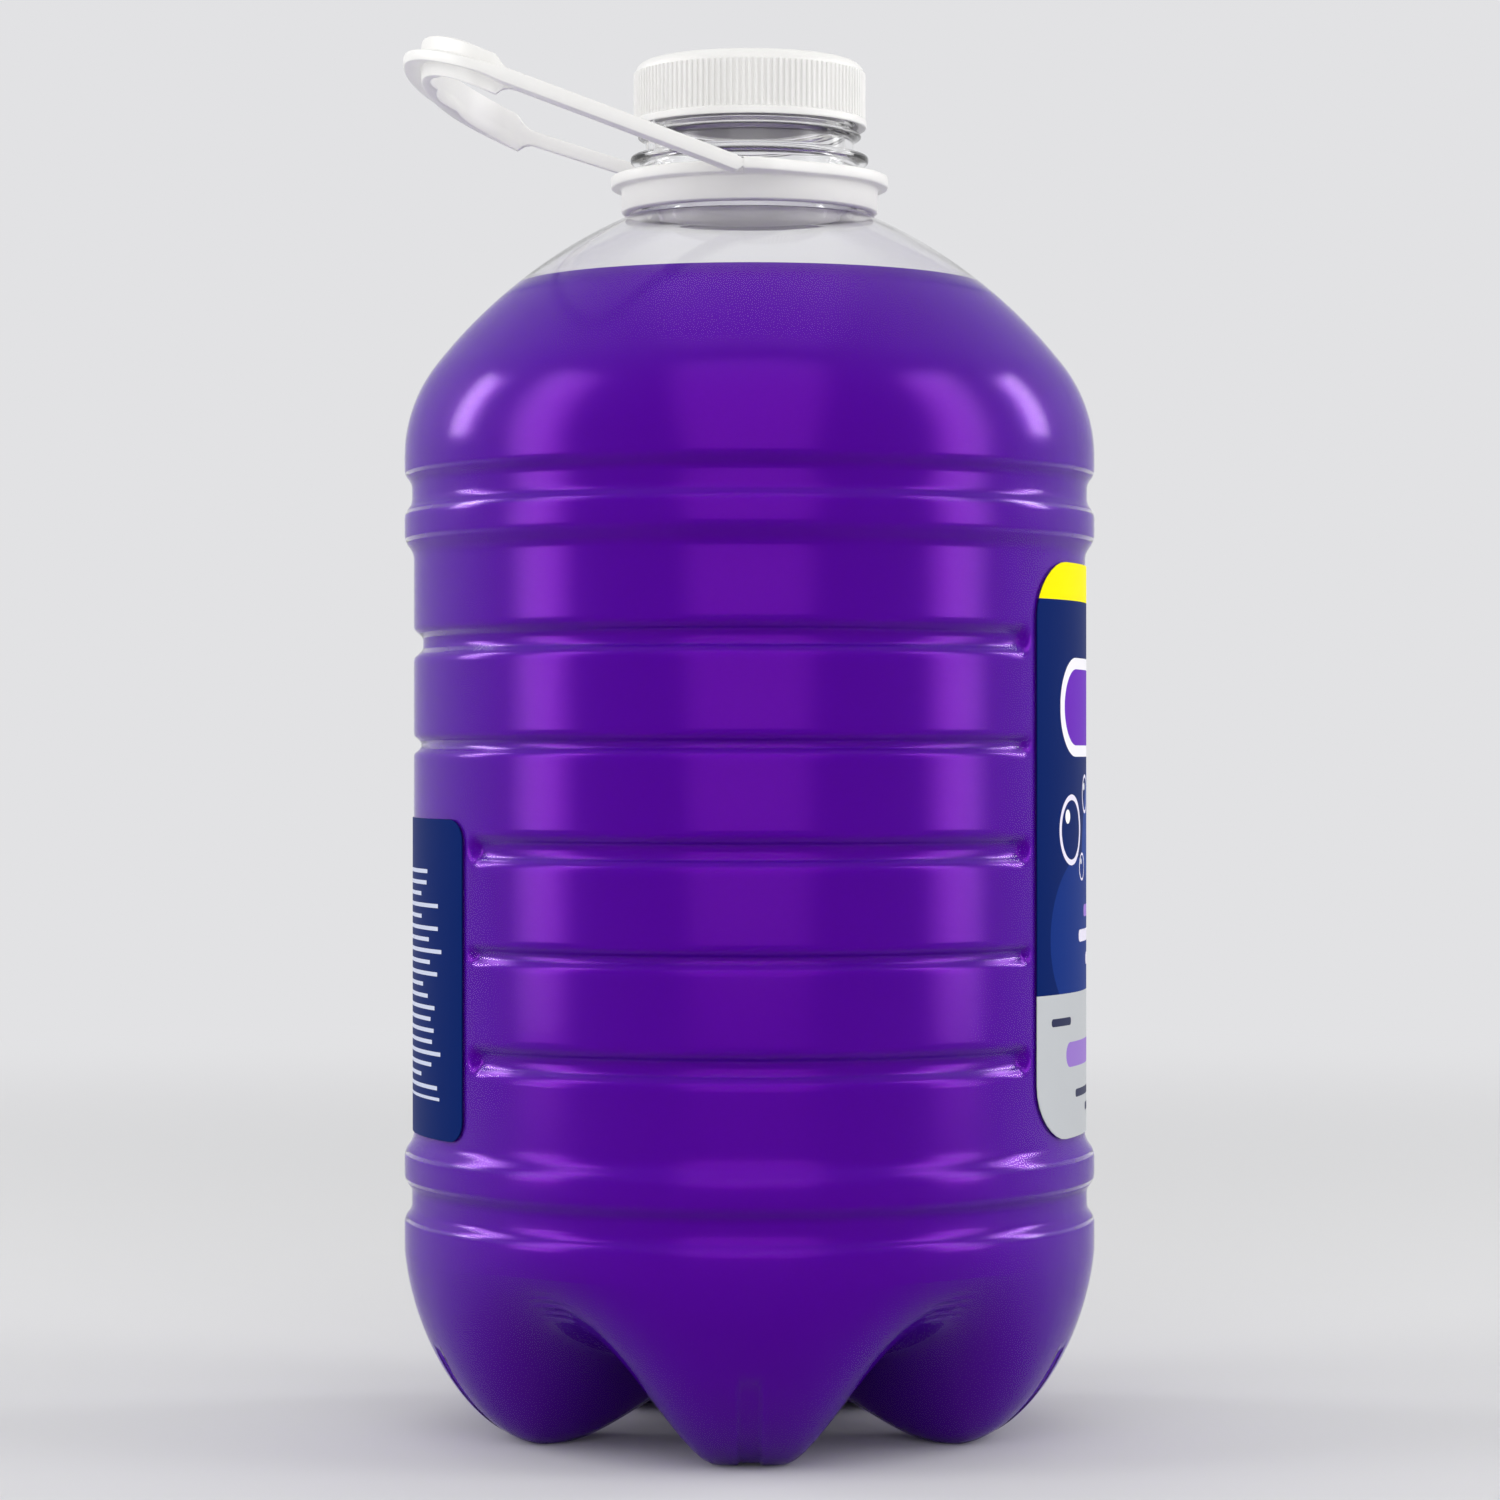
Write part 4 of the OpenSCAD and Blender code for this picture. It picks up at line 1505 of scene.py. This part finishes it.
    def webs(self) -> None:
        """Builds the two thin hinge webs that join the lugs to the arms."""
        x0 = self.hinge[0] - 1.6
        x1 = self.hinge[0] + self.arm_t / 2 + self.hinge_gap + 0.4
        z, w = self.hinge[1], self.arm_w / 2 - 0.35
        for side, name in ((1, "hinge_web_far"), (-1, "hinge_web_near")):
            rings = []
            for i in range(13):
                x = x0 + (x1 - x0) * i / 12
                half = 0.28 + 0.5 * abs(i / 6 - 1) ** 2.0
                y = side * self.root_y
                ring = [(x, y - w, z - half), (x, y + w, z - half), (x, y + w, z + half), (x, y - w, z + half)]
                rings.append(np.array(ring[::-1]))
            verts, faces = skin(rings, True, True)
            piece = new_piece(name, verts * MM, faces, self.plastic)
            y = side * self.root_y * MM
            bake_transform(piece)
            log.info("%s blended over the hinge", name)


@dataclass
class Studio:
    """The floor, the lamps and the camera."""

    camera_d: float = 949.0
    camera_z: float = 147.5
    lens: float = 104.5
    world: float = 0.5
    backdrop: float = 0.78
    lamp_core: float = 0.35

    def floor(self, paper: Material) -> None:
        """Lays a sweep of paper under and behind the bottle."""
        line = [(-3.0, 0.0), (1.2, 0.0)] + [
            (1.2 + 0.8 * math.sin(a), 0.8 - 0.8 * math.cos(a)) for a in np.linspace(0.1, math.pi / 2, 12)
        ]
        line += [(2.0, 3.0)]
        verts = [(x, y, z) for y, z in line for x in (-3.5, 3.5)]
        faces = [(2 * i, 2 * i + 1, 2 * i + 3, 2 * i + 2) for i in range(len(line) - 1)]
        new_piece("floor_sweep", np.array(verts), faces, paper, 80.0)

    def lamp(
        self, name: str, turn: float, far: float, up: float, size: tuple[float, float], glow: float, core_x: float
    ) -> None:
        """Hangs one rectangular soft lamp that faces the bottle and dims towards its edges.

        Args:
            name: The lamp's name.
            turn: Its direction from the bottle, in degrees from the camera's.
            far: Its distance from the bottle's axis, in metres.
            up: Its height, in metres.
            size: Its width and height, in metres.
            glow: How bright the middle of its face is, where 1 looks white.
            core_x: How far from the middle it starts to dim sideways, where 0.5 is the edge.
        """
        data = bpy.data.lights.new(name, "AREA")
        data.shape = "RECTANGLE"
        data.size, data.size_y = size
        data.energy = glow * math.pi * size[0] * size[1]
        data.use_nodes = True
        self.diffuser(data.node_tree, core_x)
        lamp = bpy.data.objects.new(name, data)
        bpy.context.collection.objects.link(lamp)
        a = math.radians(turn)
        place = Vector((far * math.sin(a), -far * math.cos(a), up))
        lamp.location = place
        aim = Vector((0.0, 0.0, 0.15)) - place
        lamp.rotation_euler = aim.to_track_quat("-Z", "Y").to_euler()
        lamp.visible_camera = False

    def diffuser(self, tree: Tree, core_x: float) -> None:
        """Dims a lamp's face smoothly towards its edges, as a soft box's cloth does.

        Args:
            tree: The lamp's node tree.
            core_x: How far from the middle it starts to dim sideways, where 0.5 is the edge.
        """
        tree.nodes.clear()
        face = put(tree, "ShaderNodeNewGeometry").outputs["Parametric"]
        axis = put(tree, "ShaderNodeSeparateXYZ", {0: face})
        glow = None
        for along, core in ((axis.outputs["X"], core_x), (axis.outputs["Y"], self.lamp_core)):
            off = put(tree, "ShaderNodeMath", {0: along, 1: 0.5}, operation="SUBTRACT")
            away = put(tree, "ShaderNodeMath", {0: off}, operation="ABSOLUTE")
            fade = put(
                tree,
                "ShaderNodeMapRange",
                {"Value": away, "From Min": 0.5, "From Max": core, "To Min": 0.0, "To Max": 1.0},
                interpolation_type="SMOOTHSTEP",
            )
            if glow is None:
                glow = fade.outputs[0]
            else:
                glow = put(tree, "ShaderNodeMath", {0: glow, 1: fade}, operation="MULTIPLY").outputs[0]
        shine = put(tree, "ShaderNodeEmission", {"Strength": glow})
        put(tree, "ShaderNodeOutputLight", {"Surface": shine})

    def lamps(self) -> None:
        """Lights the bottle from the front, both sides, behind and above."""
        self.lamp("front", 0.0, 1.5, 0.9, (1.7, 2.8), 1.0, 0.3)
        for side, name in ((-1, "left"), (1, "right")):
            self.lamp("soft_" + name, side * 73.0, 1.32, 0.45, (0.8, 2.0), 3.3, 0.05)
            self.lamp("rim_" + name, side * 110.0, 1.255, 0.67, (0.4, 0.7), 7.5, 0.1)
        self.lamp("top", 180.0, 0.3, 1.8, (1.4, 2.0), 0.38, 0.25)
        world = bpy.data.worlds.new("even studio sky")
        world.use_nodes = True
        world.node_tree.nodes.clear()
        level = put(
            world.node_tree,
            "ShaderNodeMapRange",
            {"Value": backdrop_seen(world.node_tree), "To Min": self.world, "To Max": self.backdrop},
        )
        sky = put(world.node_tree, "ShaderNodeBackground", {"Color": srgb("#FFFFFF"), "Strength": level})
        put(world.node_tree, "ShaderNodeOutputWorld", {"Surface": sky})
        bpy.context.scene.world = world

    def camera(self) -> None:
        """Sets the camera where the photograph was taken from."""
        data = bpy.data.cameras.new("camera")
        data.sensor_width = 36.0
        data.lens = self.lens
        data.shift_x = 0.5 / IMAGE_PX
        data.shift_y = 2.0 / IMAGE_PX
        camera = bpy.data.objects.new("camera", data)
        bpy.context.collection.objects.link(camera)
        camera.location = (0.0, -self.camera_d * MM, self.camera_z * MM)
        camera.rotation_euler = (math.pi / 2, 0.0, 0.0)
        bpy.context.scene.camera = camera


def main() -> None:
    """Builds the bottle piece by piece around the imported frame."""
    logging.basicConfig(level=logging.INFO, format="%(message)s")
    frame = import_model()
    nodes = frame["nodes"]
    bpy.context.scene.view_settings.view_transform = "Standard"

    studio = Studio()
    studio.camera()
    studio.lamps()
    studio.floor(PaperSweep().build())

    pet, plastic = ClearPet().build(), WhitePolypropylene().build()
    bottle = Bottle(pet, PurpleCleaner().build())
    bottle.shell()
    bottle.liquid()
    bottle.threads()
    bottle.labels(nodes, FrontLabelPrint().build(), BackLabelPrint().build())

    cap = ScrewCap(bottle.form, plastic)
    cap.build()
    cap.thread()
    dress(nodes["cap_liner"], LinerFoam().build())

    handle = CarryHandle(bottle.form, plastic)
    handle.collar()
    handle.strap()
    handle.webs()


if __name__ == "__main__":
    main()
